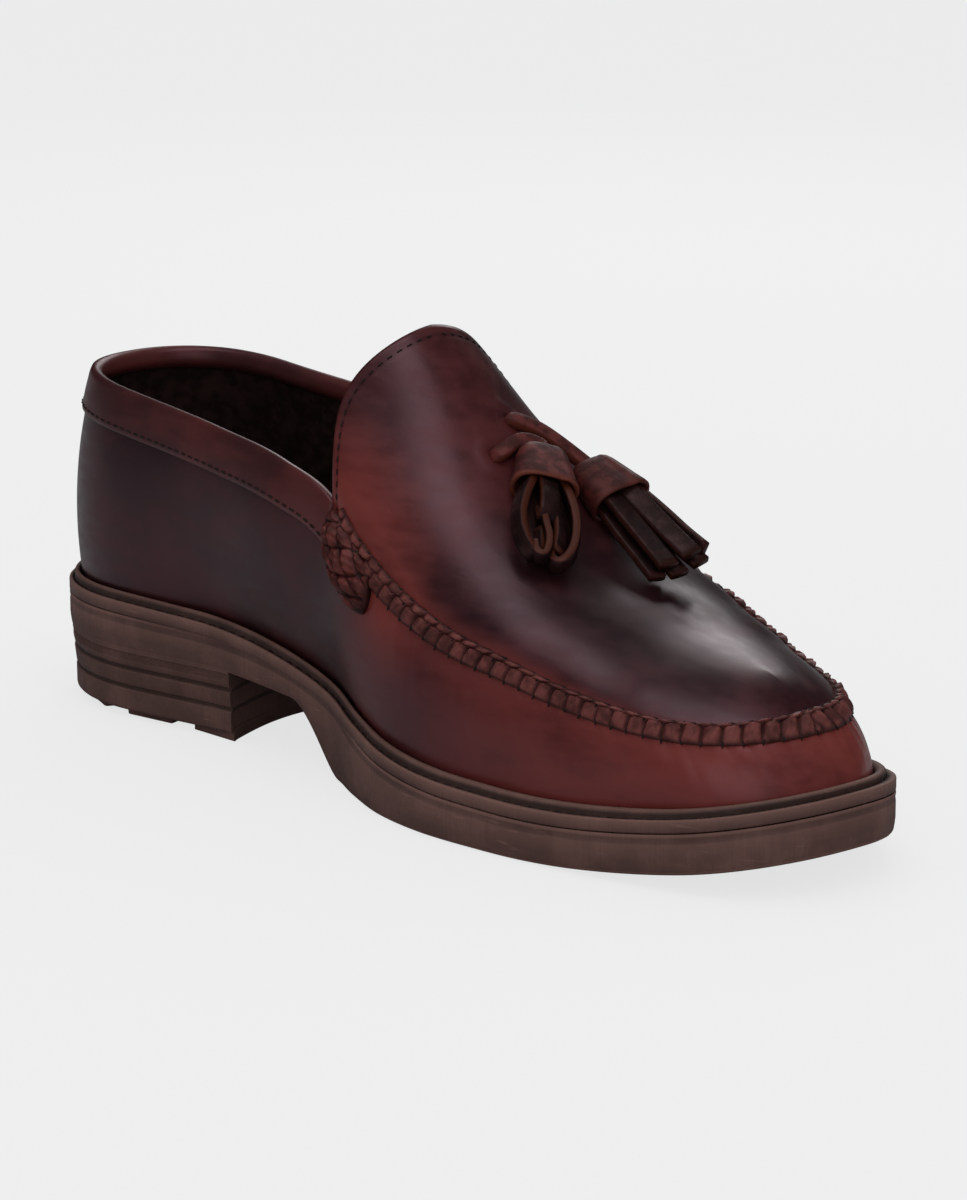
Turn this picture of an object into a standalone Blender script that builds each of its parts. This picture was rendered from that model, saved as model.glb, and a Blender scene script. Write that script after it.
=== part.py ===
"""Tassel loafer, the left shoe of a pair, standing empty on its sole.

Every length below is in millimetres and every mesh is made in metres. X runs from
the heel to the toe, +Y is the wearer's left, which is the outer side of this shoe,
and +Z is up. The floor is z = 0, and the origin is under the middle of the shoe.
Tables hold shares of the named sizes that their comments name.
"""
import math

import bmesh
import bpy
import numpy as np
from mathutils import Matrix, Vector
from mathutils.bvhtree import BVHTree

MM = 0.001
GAP = 0.3                   # between pieces that touch

# Sole
SOLE_LENGTH = 296.0
BALL_WIDTH = 109.0
HEEL_ROUND = 45.0           # length of the round end of the heel
TOE_ROUND = 30.0            # length of the round end of the toe
HEEL_LIFT = 30.0            # floor to the top of the sole under the heel
ARCH_HEIGHT = 20.0          # floor to the underside of the waist
TOE_SPRING = 10.5
SPRING_START = 0.716        # share of the length where the toe starts to rise
EDGE_CHAMFER = 1.0
LIP_HEIGHT = 0.7            # land between the top of the sole's side and its groove
LIP_GROOVE_WIDTH = 2.0
LIP_GROOVE_DEPTH = 0.55
TREAD_DEPTH = 2.2
LUG_ROOT = 2.5              # how far a lug reaches into the body
TREAD_RIM = 12.0            # plain rim around the forefoot tread
TREAD_REAR_ROUND = 30.0     # lengths of the round ends of the tread
TREAD_TOE_ROUND = 24.0
HEEL_LENGTH = 86.0
BREAST_SKEW = 6.0           # the outer corner of the breast lies this much further back
BREAST_DEPTH = 7.5          # hollow of the breast
HEEL_TAPER = 1.6
HEEL_SETBACK = 0.6          # of the heel's top from the side of the sole
HEEL_ROOT = 3.0             # how far the heel reaches into the body
HEEL_GROOVE = 0.8
HEEL_GROOVE_WIDTH = 1.6
PANEL_LENGTH = 17.0         # of the heel's front panel on the inner side
PANEL_OUTER_LENGTH = 15.0
BUTTON_RADIUS = 9.5
BUTTON_PLACE = 0.441        # share of HEEL_LENGTH
FRAME_X = 101.0
FRAME_Y = 7.0
FRAME_LENGTH = 26.0
FRAME_WIDTH = 14.0
FRAME_BAR = 1.6
FRAME_RISE = 0.8
FRAME_ROOT = 1.5

# Welt
WELT_THICKNESS = 3.4
WELT_BEAD = 2.4             # rise of the ridge that hugs the upper
BEAD_WIDTH = 1.9
WELT_ROUND = 0.5            # rounding of the welt's corners
WELT_CLEARANCE = 0.4        # between welt and upper

# Upper
WALL = 2.0
NOTCH_X = 138.0             # where collar, tongue and seam meet
COLLAR_BACK = 8.0           # heel end of the collar, from the back of the sole
APRON_TOE = 278.3           # toe end of the seam
APRON_TOE_ROUND = 34.0
COLLAR_ROUND = 34.0
COLLAR_HEIGHT = 94.0        # floor to the collar at the heel
INSTEP_HEIGHT = 119.5       # floor to the top of the tongue
TONGUE_X = 135.7
RIDGE_END_X = 262.0         # where the seam's toe curve is centred
TONGUE_BOW = 5.6
SEAM_HALF = 3.8             # half the width of the hand-sewn seam
SEAM_RISE = 1.7
COLLAR_BAND = 11.0
BAND_THICKNESS = 0.9
ROLL_HEIGHT = 13.5
ROLL_THICKNESS = 4.6
INSOLE_THICKNESS = 3.0
SEAM_START = 0.003          # share of the front by which the seam clears the rolls
HEEL_CENTRE_X = 60.0        # the wall faces away from here around the heel

# Tassels
THONG_THICKNESS = 1.5
THONG_RISE = 0.9            # of the thong over the apron, beside its slot
THONG_BEND = 4.0            # by which an arm goes around its band's corner
SLOT_CLEARANCE = 0.6
SLOT_STRETCH = 0.7          # by which a slot is longer than wide, to each side
TASSEL_BAND_WIDTH = 16.0
TASSEL_BAND_DEPTH = 9.0
TASSEL_BAND_HEIGHT = 15.0
STRIP_LENGTH = 29.0
STRIP_WIDTH = 4.6
STRIP_THICKNESS = 2.2
STRIP_GAP = 0.4
STRIP_FAN = 2.0             # sideways spread of the outer strips at their ends
STRIP_CURL = 0.6
TASSEL_SEAT = 1.0           # least height of a tassel over the apron
SLOT_NEAR = (165.0, -3.5)
SLOT_FAR = (157.4, 8.5)
HEAD_NEAR = (168.5, 7.5)
TIP_NEAR = (197.5, -17.0)
HEAD_FAR = (172.5, 21.5)
TIP_FAR = (211.5, 20.0)
LEAN_FAR = 27.0             # degrees by which the far tassel turns towards the ridge


class Table:
    """Rows with named columns, read smoothly between the rows."""

    def __init__(self, columns, rows):
        self.column = {name: np.array([row[k] for row in rows], float)
                       for k, name in enumerate(columns)}
        self.keys = self.column[columns[0]]

    def read(self, name, key):
        keys = self.keys
        values = self.column[name]
        key = min(max(key, keys[0]), keys[-1])
        k = min(max(int(np.searchsorted(keys, key)) - 1, 0), len(keys) - 2)
        slopes = np.gradient(values, keys)
        step = keys[k + 1] - keys[k]
        s = (key - keys[k]) / step
        start = (1 + 2 * s) * (1 - s) ** 2 * values[k] + s * (1 - s) ** 2 * step * slopes[k]
        end = s * s * (3 - 2 * s) * values[k + 1] + s * s * (s - 1) * step * slopes[k + 1]
        return float(start + end)


# Half widths of the outsole: along in shares of SOLE_LENGTH, the others of BALL_WIDTH.
# margin is what the sole stands out beyond the upper's foot, bulge how far the wall
# of the upper swells out between its foot and its top.
OUTLINE = Table(("along", "medial", "lateral", "margin", "medial_bulge", "lateral_bulge"), [
    (0.000, 0.330, 0.335, 0.040, 0.034, 0.034),
    (0.150, 0.335, 0.350, 0.040, 0.034, 0.034),
    (0.290, 0.285, 0.358, 0.040, 0.055, 0.036),
    (0.360, 0.280, 0.413, 0.040, 0.066, 0.036),
    (0.450, 0.308, 0.460, 0.044, 0.054, 0.034),
    (0.500, 0.372, 0.491, 0.048, 0.040, 0.034),
    (0.555, 0.431, 0.525, 0.050, 0.030, 0.032),
    (0.620, 0.463, 0.537, 0.054, 0.028, 0.030),
    (0.700, 0.459, 0.502, 0.056, 0.026, 0.028),
    (0.785, 0.431, 0.440, 0.056, 0.024, 0.026),
    (0.840, 0.399, 0.388, 0.056, 0.024, 0.024),
    (0.900, 0.358, 0.328, 0.056, 0.027, 0.027),
    (1.000, 0.275, 0.205, 0.056, 0.030, 0.030)])

# Top of the sole: along in shares of SOLE_LENGTH, height of HEEL_LIFT.
PLATFORM = Table(("along", "height"), [
    (0.00, 1.000), (0.20, 1.000), (0.30, 0.955), (0.37, 0.860), (0.44, 0.700),
    (0.51, 0.550), (0.58, 0.445), (0.65, 0.385), (0.71, 0.367), (1.00, 0.367)])

# Top edge of the wall, which is the collar behind the notch and the seam before it:
# along in shares of SOLE_LENGTH, half widths of BALL_WIDTH, heights of COLLAR_HEIGHT.
RIM = Table(("along", "medial", "lateral", "medial_height", "lateral_height"), [
    (0.000, 0.262, 0.262, 1.000, 1.000),
    (0.080, 0.262, 0.262, 0.990, 0.990),
    (0.170, 0.270, 0.270, 0.966, 0.966),
    (0.290, 0.292, 0.294, 0.934, 0.934),
    (0.390, 0.318, 0.320, 0.896, 0.896),
    (0.466, 0.342, 0.342, 0.824, 0.824),
    (0.510, 0.362, 0.360, 0.716, 0.726),
    (0.560, 0.374, 0.384, 0.628, 0.660),
    (0.620, 0.375, 0.394, 0.554, 0.606),
    (0.700, 0.364, 0.380, 0.504, 0.543),
    (0.770, 0.338, 0.352, 0.456, 0.472),
    (0.840, 0.308, 0.310, 0.432, 0.422),
    (0.900, 0.278, 0.266, 0.423, 0.420),
    (1.000, 0.210, 0.176, 0.463, 0.463)])

# Ridge of tongue and apron: along in shares of SOLE_LENGTH, height of INSTEP_HEIGHT,
# side of BALL_WIDTH.
RIDGE = Table(("along", "height", "side"), [
    (0.440, 1.050, 0.000), (0.480, 0.955, 0.000), (0.515, 0.863, 0.000),
    (0.560, 0.748, 0.000), (0.610, 0.651, 0.000), (0.670, 0.564, 0.004),
    (0.740, 0.495, 0.004), (0.810, 0.451, 0.000), (0.880, 0.419, -0.008),
    (0.940, 0.399, -0.014), (1.000, 0.388, -0.018)])

# Lugs of the forefoot: corners in shares of SOLE_LENGTH, BALL_WIDTH.
FOREFOOT_LUGS = {
    "hook": [(0.667, -0.185), (0.588, -0.165), (0.538, -0.100), (0.532, 0.250),
             (0.580, 0.268), (0.594, -0.010), (0.662, -0.046)],
    "zigzag": [(0.804, -0.128), (0.684, -0.190), (0.668, 0.098), (0.606, 0.138),
               (0.598, 0.258), (0.724, 0.212), (0.734, -0.044), (0.802, -0.028)],
    "front hook": [(0.876, -0.082), (0.822, -0.138), (0.814, 0.020), (0.744, 0.084),
                   (0.738, 0.184), (0.868, 0.084)],
    "inner 1": [(0.608, -0.340), (0.552, -0.296), (0.546, -0.165), (0.598, -0.210)],
    "inner 2": [(0.668, -0.346), (0.616, -0.342), (0.611, -0.222), (0.668, -0.238)],
    "inner 3": [(0.738, -0.330), (0.686, -0.340), (0.682, -0.222), (0.733, -0.210)],
    "inner 4": [(0.806, -0.286), (0.758, -0.318), (0.752, -0.202), (0.803, -0.184)],
    "outer 1": [(0.650, 0.296), (0.594, 0.296), (0.588, 0.420), (0.650, 0.402)],
    "outer 2": [(0.722, 0.250), (0.670, 0.284), (0.660, 0.392), (0.722, 0.366)],
    "outer 3": [(0.794, 0.204), (0.740, 0.230), (0.734, 0.356), (0.794, 0.312)],
    "outer 4": [(0.868, 0.130), (0.812, 0.184), (0.804, 0.292), (0.868, 0.230)]}
TREAD_PANELS = {
    "toe": [(0.838, -0.262), (0.900, -0.236), (0.936, -0.150), (0.948, -0.040),
            (0.936, 0.070), (0.898, 0.140), (0.896, 0.050), (0.893, -0.080), (0.832, -0.160)],
    "rear": [(0.530, -0.190), (0.500, -0.150), (0.478, -0.040), (0.470, 0.120),
             (0.484, 0.250), (0.520, 0.345), (0.566, 0.392), (0.572, 0.300),
             (0.516, 0.270), (0.520, -0.080)]}

# Lugs of the heel: corners in shares of HEEL_LENGTH, BALL_WIDTH.
HEEL_LUGS = {
    "inner": [(0.382, -0.290), (0.162, -0.220), (0.348, -0.119), (0.465, -0.147)],
    "rear": [(0.093, -0.130), (0.072, 0.088), (0.268, 0.055), (0.279, -0.070)],
    "outer": [(0.313, 0.101), (0.127, 0.192), (0.313, 0.288), (0.420, 0.156)],
    "outer front": [(0.499, 0.165), (0.441, 0.298), (0.651, 0.312), (0.606, 0.174)],
    "inner front": [(0.699, -0.270), (0.499, -0.292), (0.533, -0.147), (0.644, -0.128)]}

FRONT_COLUMNS = 25          # of the upper on each side, from the notch to the toe
ROLL_COLUMNS = 3            # columns that the roll covers
QUARTER_COLUMNS = 13        # from the notch to the heel
WALL_ROWS = (0.0, 0.14, 0.32, 0.52, 0.72)
APRON_ROWS = 7


def smoothstep(start, end, value):
    """0 before start, 1 after end and a smooth rise between them."""
    s = min(max((value - start) / (end - start), 0.0), 1.0)
    return s * s * (3 - 2 * s)


def round_end(distance, length, power):
    """Share of the full width at a distance from a round end of the given length."""
    if distance >= length:
        return 1.0
    inner = 1.0 - max(distance, 0.0) / length
    return (1.0 - inner ** power) ** (1.0 / power)


def half_width(side, x):
    """Half width of the outsole on one side; -1 is the inner side and 1 the outer."""
    name = "medial" if side < 0 else "lateral"
    share = OUTLINE.read(name, x / SOLE_LENGTH)
    ends = round_end(x, HEEL_ROUND, 2.3) * round_end(SOLE_LENGTH - x, TOE_ROUND, 2.5)
    return share * BALL_WIDTH * ends


def spring(x):
    """Rise of the toe off the floor."""
    share = max(x / SOLE_LENGTH - SPRING_START, 0.0) / (1.0 - SPRING_START)
    return TOE_SPRING * share ** 2.1


def platform(x):
    """Height of the top of the sole."""
    return PLATFORM.read("height", x / SOLE_LENGTH) * HEEL_LIFT + spring(x)


def underside(x):
    """Height of the underside, which drops from the waist to the forefoot in one step."""
    along = x / SOLE_LENGTH
    waist = 1.0 - 0.12 * smoothstep(0.26, 0.40, along)
    return ARCH_HEIGHT * waist * (1.0 - smoothstep(0.375, 0.458, along)) + spring(x)


class Rail:
    """One side of a closed outline from the heel to the toe, read by share of its arc."""

    def __init__(self, side, start, end, width, steps=240):
        angles = np.linspace(0.0, math.pi, steps)
        xs = start + (end - start) * (1.0 - np.cos(angles)) / 2.0
        self.points = np.array([(x, side * width(x)) for x in xs])
        runs = np.hypot(*np.diff(self.points, axis=0).T)
        self.arc = np.concatenate([[0.0], np.cumsum(runs)])
        self.arc /= self.arc[-1]
        self.side = side

    def at(self, share):
        return np.array([np.interp(share, self.arc, self.points[:, k]) for k in (0, 1)])

    def share_at(self, x):
        return float(np.interp(x, self.points[:, 0], self.arc))

    def outward(self, share):
        """Unit normal in plan that points out of the outline."""
        if share <= 0.0:
            return np.array([-1.0, 0.0])
        if share >= 1.0:
            return np.array([1.0, 0.0])
        step = 0.004
        run = self.at(min(share + step, 1.0)) - self.at(max(share - step, 0.0))
        normal = np.array([-run[1], run[0]]) * self.side
        return normal / np.hypot(*normal)


def rim_width(side, x):
    name = "medial" if side < 0 else "lateral"
    ends = (round_end(x - COLLAR_BACK, COLLAR_ROUND, 2.2)
            * round_end(APRON_TOE - x, APRON_TOE_ROUND, 2.2))
    return RIM.read(name, x / SOLE_LENGTH) * BALL_WIDTH * ends


SOLE_RAILS = {side: Rail(side, 0.0, SOLE_LENGTH, lambda x, s=side: half_width(s, x))
              for side in (-1, 1)}
RIM_RAILS = {side: Rail(side, COLLAR_BACK, APRON_TOE, lambda x, s=side: rim_width(s, x))
             for side in (-1, 1)}


def rail_share(rail, s):
    """Share of a rail for the column s: -1 at the heel, 0 at the notch, 1 at the toe."""
    notch = rail.share_at(NOTCH_X)
    return notch * (1.0 + s) if s < 0 else notch + (1.0 - notch) * s


def sole_edge(side, s):
    """Point of the sole's outline, its outward normal and the margin there."""
    rail = SOLE_RAILS[side]
    share = rail_share(rail, s)
    point = rail.at(share)
    margin = OUTLINE.read("margin", point[0] / SOLE_LENGTH) * BALL_WIDTH
    return point, rail.outward(share), margin


def rim_point(side, s):
    """Point of the wall's top edge."""
    rail = RIM_RAILS[side]
    x, y = rail.at(rail_share(rail, s))
    along = x / SOLE_LENGTH
    names = ("medial_height", "lateral_height")
    own, other = names if side < 0 else names[::-1]
    blend = 0.5 * smoothstep(0.93, 1.0, x / APRON_TOE)
    height = RIM.read(own, along) * (1.0 - blend) + RIM.read(other, along) * blend
    y += RIDGE.read("side", 1.0) * BALL_WIDTH * smoothstep(0.80, 1.0, x / APRON_TOE)
    return np.array([x, y, height * COLLAR_HEIGHT])


def wall_point(side, s, w):
    """Outer face of the wall, from its foot at w = 0 to the rim at w = 1."""
    edge, outward, margin = sole_edge(side, s)
    foot = edge - outward * margin
    low = np.array([foot[0], foot[1], platform(foot[0]) + GAP])
    top = rim_point(side, s)
    along = foot[0] / SOLE_LENGTH
    name = "medial_bulge" if side < 0 else "lateral_bulge"
    bulge = OUTLINE.read(name, along) * BALL_WIDTH * 4.0 * w * (1.0 - w)
    point = low + (top - low) * w
    point[:2] += outward * bulge
    return point


def ridge_x(s):
    """Where the column s meets the ridge."""
    return TONGUE_X + (RIDGE_END_X - TONGUE_X) * (0.75 * math.sin(math.pi / 2 * s) + 0.25 * s)


def ridge_height(x):
    return RIDGE.read("height", x / SOLE_LENGTH) * INSTEP_HEIGHT


def apron_point(side, s, q):
    """Outer face of apron and tongue, from the rim at q = 0 to the ridge at q = 1."""
    rim = rim_point(side, s)
    top_x = ridge_x(s)
    top_y = RIDGE.read("side", top_x / SOLE_LENGTH) * BALL_WIDTH
    angle = math.pi / 2 * (1.0 - q)
    spread = math.sin(angle)
    bow = TONGUE_BOW * (1.0 - smoothstep(0.0, 0.25, s)) * math.sin(math.pi * spread ** 2)
    x = top_x + (rim[0] - top_x) * spread
    y = top_y + (rim[1] - top_y) * spread
    roundness = 1.85 - 0.57 * smoothstep(0.0, 0.9, s)
    level = max(1.0 - spread ** 2, 0.0) ** (1.0 / roundness)
    return np.array([x - bow, y, rim[2] + (ridge_height(x) - rim[2]) * level])


def row_lengths(side, s):
    """Length of the wall and of the apron along the column s."""
    wall = np.linalg.norm(wall_point(side, s, 1.0) - wall_point(side, s, 0.0))
    apron = sum(np.linalg.norm(apron_point(side, s, (k + 1) / 8) - apron_point(side, s, k / 8))
                for k in range(8)) if s >= 0 else 0.0
    return wall, apron


def columns():
    """Columns of the upper from the heel to the toe."""
    step = 1.0 / FRONT_COLUMNS
    quarter = [-(k + 1) / QUARTER_COLUMNS for k in range(QUARTER_COLUMNS)]
    return sorted(quarter) + [k * step for k in range(FRONT_COLUMNS + 1)]


def wall_rows(side, s):
    """Rows of the wall; the last but one is the edge of the collar band or seam."""
    wall, _ = row_lengths(side, s)
    band = COLLAR_BAND if s <= 0 else SEAM_HALF
    return list(WALL_ROWS) + [max(1.0 - band / wall, 0.80), 1.0]


def apron_rows(side, s):
    """Rows of the apron; the first is the inner edge of the seam."""
    _, apron = row_lengths(side, s)
    first = SEAM_HALF / apron * 1.2
    return [first + (1.0 - first) * k / (APRON_ROWS - 1) for k in range(APRON_ROWS)]


def to_metres(points):
    """Design points in millimetres to metres about the part's origin."""
    widest = {side: max(abs(SOLE_RAILS[side].points[:, 1])) for side in (-1, 1)}
    origin = np.array([SOLE_LENGTH / 2, (widest[1] - widest[-1]) / 2, 0.0])
    return [Vector((np.asarray(p, float) - origin) * MM) for p in points]


def material(name, colour, roughness):
    made = bpy.data.materials.new(name)
    made.use_nodes = True
    shader = made.node_tree.nodes["Principled BSDF"]
    shader.inputs["Base Color"].default_value = (*colour, 1.0)
    shader.inputs["Roughness"].default_value = roughness
    shader.inputs["Metallic"].default_value = 0.0
    return made


def mesh_object(name, points, faces, collection, finish=None, smooth_below=35.0):
    """An object from design points, with its faces turned outward."""
    mesh = bpy.data.meshes.new(name)
    mesh.from_pydata(to_metres(points), [], faces)
    work = bmesh.new()
    work.from_mesh(mesh)
    bmesh.ops.recalc_face_normals(work, faces=work.faces)
    work.to_mesh(mesh)
    work.free()
    made = bpy.data.objects.new(name, mesh)
    collection.objects.link(made)
    if finish:
        mesh.materials.append(finish)
        mesh.shade_smooth()
        mesh.set_sharp_from_angle(angle=math.radians(smooth_below))
    return made


def loft(sections, closed_path, closed_section=True):
    """Points and quads through sections that have the same number of points."""
    count = len(sections[0])
    points = [p for section in sections for p in section]
    faces = []
    path_steps = len(sections) if closed_path else len(sections) - 1
    section_steps = count if closed_section else count - 1
    for i in range(path_steps):
        a = i * count
        b = (i + 1) % len(sections) * count
        for j in range(section_steps):
            k = (j + 1) % count
            faces.append((a + j, a + k, b + k, b + j))
    return points, faces


def closed_loft(sections):
    """A loft with a cap at each end."""
    points, faces = loft(sections, False)
    count = len(sections[0])
    faces.append(tuple(range(count))[::-1])
    faces.append(tuple(range(len(points) - count, len(points))))
    return points, faces


def boolean(target, tool, operation):
    cut = target.modifiers.new(operation.lower(), 'BOOLEAN')
    cut.operation = operation
    cut.solver = 'EXACT'
    cut.object = tool


def make_tool(name, points, faces, tools):
    made = mesh_object(name, points, faces, tools)
    made.hide_render = True
    made.display_type = 'WIRE'
    return made


def sole_stations():
    """Stations along the sole, close together at its round ends and at the step."""
    heel = [HEEL_ROUND * (1 - math.cos(math.radians(a))) for a in (0, 14, 28, 42, 56, 72, 90)]
    toe = [SOLE_LENGTH - TOE_ROUND * (1 - math.cos(math.radians(a)))
           for a in (90, 72, 56, 42, 28, 14, 0)]
    middle = [SOLE_LENGTH * share for share in
              (0.20, 0.26, 0.31, 0.35, 0.38, 0.40, 0.42, 0.44, 0.46, 0.50, 0.54, 0.59,
               0.64, 0.69, 0.74, 0.78, 0.82, 0.86)]
    return heel + middle + toe


def sole_ring(xs, inset, height):
    """Closed ring around the sole at the stations, with height(x) giving its level."""
    ring = []
    for side in (-1, 1):
        rail = SOLE_RAILS[side]
        run = xs if side < 0 else xs[-2:0:-1]
        for x in run:
            share = rail.share_at(x)
            point = np.array([x, side * half_width(side, x)]) - rail.outward(share) * inset
            ring.append((point[0], point[1], height(x)))
    return ring


def cross_caps(count, stations, base, flip):
    """Quads across a ring, between its inner and outer points of the same station."""
    def outer(k):
        return base + (k if k in (0, stations - 1) else count - k)
    faces = []
    for k in range(stations - 1):
        quad = [base + k, base + k + 1, outer(k + 1), outer(k)]
        quad = list(dict.fromkeys(quad))
        faces.append(tuple(quad[::-1] if flip else quad))
    return faces


def polygon_prism(corners, low, high):
    """Upright prism on a plan outline; low(x) and high(x) give its ends."""
    bottom = [(x, y, low(x)) for x, y in corners]
    top = [(x, y, high(x)) for x, y in corners]
    return closed_loft([bottom, top])


def shares_to_plan(corners, length=SOLE_LENGTH):
    return [(a * length, b * BALL_WIDTH) for a, b in corners]


def join(pieces):
    """One list of points and faces from several."""
    points = []
    faces = []
    for piece_points, piece_faces in pieces:
        base = len(points)
        points += list(piece_points)
        faces += [tuple(base + k for k in face) for face in piece_faces]
    return points, faces


def tread_field():
    """Cutter of the recessed tread: the forefoot inside its plain rim."""
    start = 0.455 * SOLE_LENGTH
    end = SOLE_LENGTH - TREAD_RIM * 1.3
    stations = 15
    xs = [start + (end - start) * (1 - math.cos(math.pi * k / (stations - 1))) / 2
          for k in range(stations)]
    rings = []
    for level in (-TREAD_DEPTH, TREAD_DEPTH):
        ring = []
        for side in (-1, 1):
            for x in xs if side < 0 else xs[-2:0:-1]:
                ends = (round_end(x - start, TREAD_REAR_ROUND, 2.0)
                        * round_end(end - x, TREAD_TOE_ROUND, 2.0))
                y = side * max(half_width(side, x) - TREAD_RIM, 0.0) * ends
                ring.append((x, y, spring(x) + level))
        rings.append(ring)
    points, faces = loft(rings, False)
    faces += cross_caps(len(rings[0]), stations, 0, False)
    faces += cross_caps(len(rings[0]), stations, len(rings[0]), True)
    return points, faces


def heel_outline(inset):
    """Plan of the heel block: the sole's heel, closed by a hollow breast."""
    xs = [HEEL_ROUND * (1 - math.cos(math.radians(a))) for a in (0, 20, 40, 60, 80)]
    xs += [0.6 * HEEL_LENGTH, 0.8 * HEEL_LENGTH]
    plan = []
    for side, corner in ((-1, HEEL_LENGTH), (1, HEEL_LENGTH - BREAST_SKEW)):
        rail = SOLE_RAILS[side]
        points = []
        for x in xs + [corner]:
            normal = rail.outward(rail.share_at(x))
            points.append(np.array([x, side * half_width(side, x)]) - normal * inset)
        plan.append(points)
    inner, outer = plan
    breast = []
    for k in range(1, 6):
        share = k / 6
        chord = inner[-1] + (outer[-1] - inner[-1]) * share
        breast.append(chord - np.array([BREAST_DEPTH * math.sin(math.pi * share), 0.0]))
    return [tuple(p) for p in inner + breast + outer[::-1][:-1]]


def build_outsole(parts, tools, rubber):
    """Moulded unit: body, heel block with layer grooves, and tread lugs."""
    xs = sole_stations()
    levels = [
        (EDGE_CHAMFER * 1.6, lambda x: underside(x)),
        (EDGE_CHAMFER * 0.4, lambda x: underside(x) + EDGE_CHAMFER),
        (0.0, lambda x: platform(x) - LIP_HEIGHT - LIP_GROOVE_WIDTH),
        (LIP_GROOVE_DEPTH, lambda x: platform(x) - LIP_HEIGHT - 0.65 * LIP_GROOVE_WIDTH),
        (LIP_GROOVE_DEPTH, lambda x: platform(x) - LIP_HEIGHT - 0.30 * LIP_GROOVE_WIDTH),
        (0.0, lambda x: platform(x) - LIP_HEIGHT),
        (0.0, platform)]
    rings = [sole_ring(xs, inset, height) for inset, height in levels]
    points, faces = loft(rings, False)
    count = len(rings[0])
    faces += cross_caps(count, len(xs), 0, False)
    faces += cross_caps(count, len(xs), len(points) - count, True)
    outsole = mesh_object("outsole", points, faces, parts, rubber)

    lug_root = TREAD_DEPTH + LUG_ROOT
    heel_levels = [(HEEL_TAPER + EDGE_CHAMFER, TREAD_DEPTH),
                   (HEEL_TAPER, TREAD_DEPTH + EDGE_CHAMFER)]
    for share in (0.42, 0.70):
        level = ARCH_HEIGHT * share
        inset = HEEL_TAPER * (1.0 - share) + HEEL_SETBACK
        heel_levels += [(inset, level), (inset + HEEL_GROOVE, level + 0.3 * HEEL_GROOVE_WIDTH),
                        (inset + HEEL_GROOVE, level + 0.7 * HEEL_GROOVE_WIDTH),
                        (inset, level + HEEL_GROOVE_WIDTH)]
    heel_levels.append((HEEL_SETBACK, ARCH_HEIGHT + HEEL_ROOT))
    sections = [[(x, y, level) for x, y in heel_outline(inset)] for inset, level in heel_levels]
    heel = make_tool("heel block", *closed_loft(sections), tools)
    boolean(outsole, heel, 'UNION')

    recess = make_tool("tread recess", *tread_field(), tools)
    boolean(outsole, recess, 'DIFFERENCE')

    plans = [shares_to_plan(corners)
             for table in (FOREFOOT_LUGS, TREAD_PANELS) for corners in table.values()]
    plans += [shares_to_plan(corners, HEEL_LENGTH) for corners in HEEL_LUGS.values()]
    plans.append([(HEEL_LENGTH * BUTTON_PLACE + BUTTON_RADIUS * math.cos(a),
                   BUTTON_RADIUS * math.sin(a)) for a in np.linspace(0, 2 * math.pi, 21)[:-1]])
    plans.append(heel_front_panel())
    lugs = [polygon_prism(plan, spring, lambda x: spring(x) + lug_root) for plan in plans]
    lugs.append(waist_frame())
    boolean(outsole, make_tool("lugs", *join(lugs), tools), 'UNION')
    return outsole


def heel_front_panel():
    """Plan of the heel's front panel, which runs along the breast."""
    outline = heel_outline(HEEL_TAPER + EDGE_CHAMFER)
    inner = outline[7]
    breast = outline[8:13]
    outer = outline[13]
    back = [(x - PANEL_LENGTH, y) for x, y in breast]
    back_inner = (inner[0] - PANEL_LENGTH, inner[1])
    back_outer = (outer[0] - PANEL_OUTER_LENGTH, outer[1])
    return [inner] + breast + [outer, back_outer] + back[::-1] + [back_inner]


def waist_frame():
    """Plain raised rectangle, moulded on the underside of the waist."""
    sections = []
    for sx, sy in ((-1, -1), (1, -1), (1, 1), (-1, 1)):
        corner = np.array([FRAME_X + sx * FRAME_LENGTH / 2, FRAME_Y + sy * FRAME_WIDTH / 2])
        inner = corner - np.array([sx, sy]) * FRAME_BAR
        section = []
        for point, level in ((inner, -FRAME_RISE), (corner, -FRAME_RISE),
                             (corner, FRAME_ROOT), (inner, FRAME_ROOT)):
            section.append((point[0], point[1], underside(point[0]) + level))
        sections.append(section)
    return loft(sections, True)


def build_welt(parts, rubber):
    """Strip between sole and upper, with a raised bead against the wall."""
    sections = []
    for side, s in ring_columns():
        edge, outward, _ = sole_edge(side, s)
        wall, _ = row_lengths(side, s)

        def beside_wall(height):
            point = wall_point(side, s, height / wall)
            return point[:2] + outward * WELT_CLEARANCE

        def at(point, height):
            return (*point, platform(point[0]) + GAP + height)

        crest = WELT_THICKNESS + WELT_BEAD
        foot = beside_wall(0.0)
        lean = beside_wall(crest)
        flat = max(np.dot(edge - lean, outward), BEAD_WIDTH + 1.6 * WELT_ROUND)
        bead = lean + outward * BEAD_WIDTH
        lip = lean + outward * flat
        sections.append([
            at(foot, 0.0), at(lip - outward * WELT_ROUND * 0.4, 0.0), at(lip, WELT_ROUND),
            at(lip, WELT_THICKNESS - WELT_ROUND), at(lip - outward * WELT_ROUND, WELT_THICKNESS),
            at(bead, WELT_THICKNESS), at(bead - outward * WELT_ROUND, crest - WELT_ROUND * 0.8),
            at(lean + outward * WELT_ROUND, crest), at(lean, crest - WELT_ROUND),
            at(beside_wall(WELT_THICKNESS), WELT_THICKNESS)])
    points, faces = loft(sections, True)
    return mesh_object("welt", points, faces, parts, rubber)


def ring_columns():
    """Side and column of each step around the upper."""
    cols = columns()
    return [(-1, s) for s in cols] + [(1, s) for s in cols[-2:0:-1]]


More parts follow.
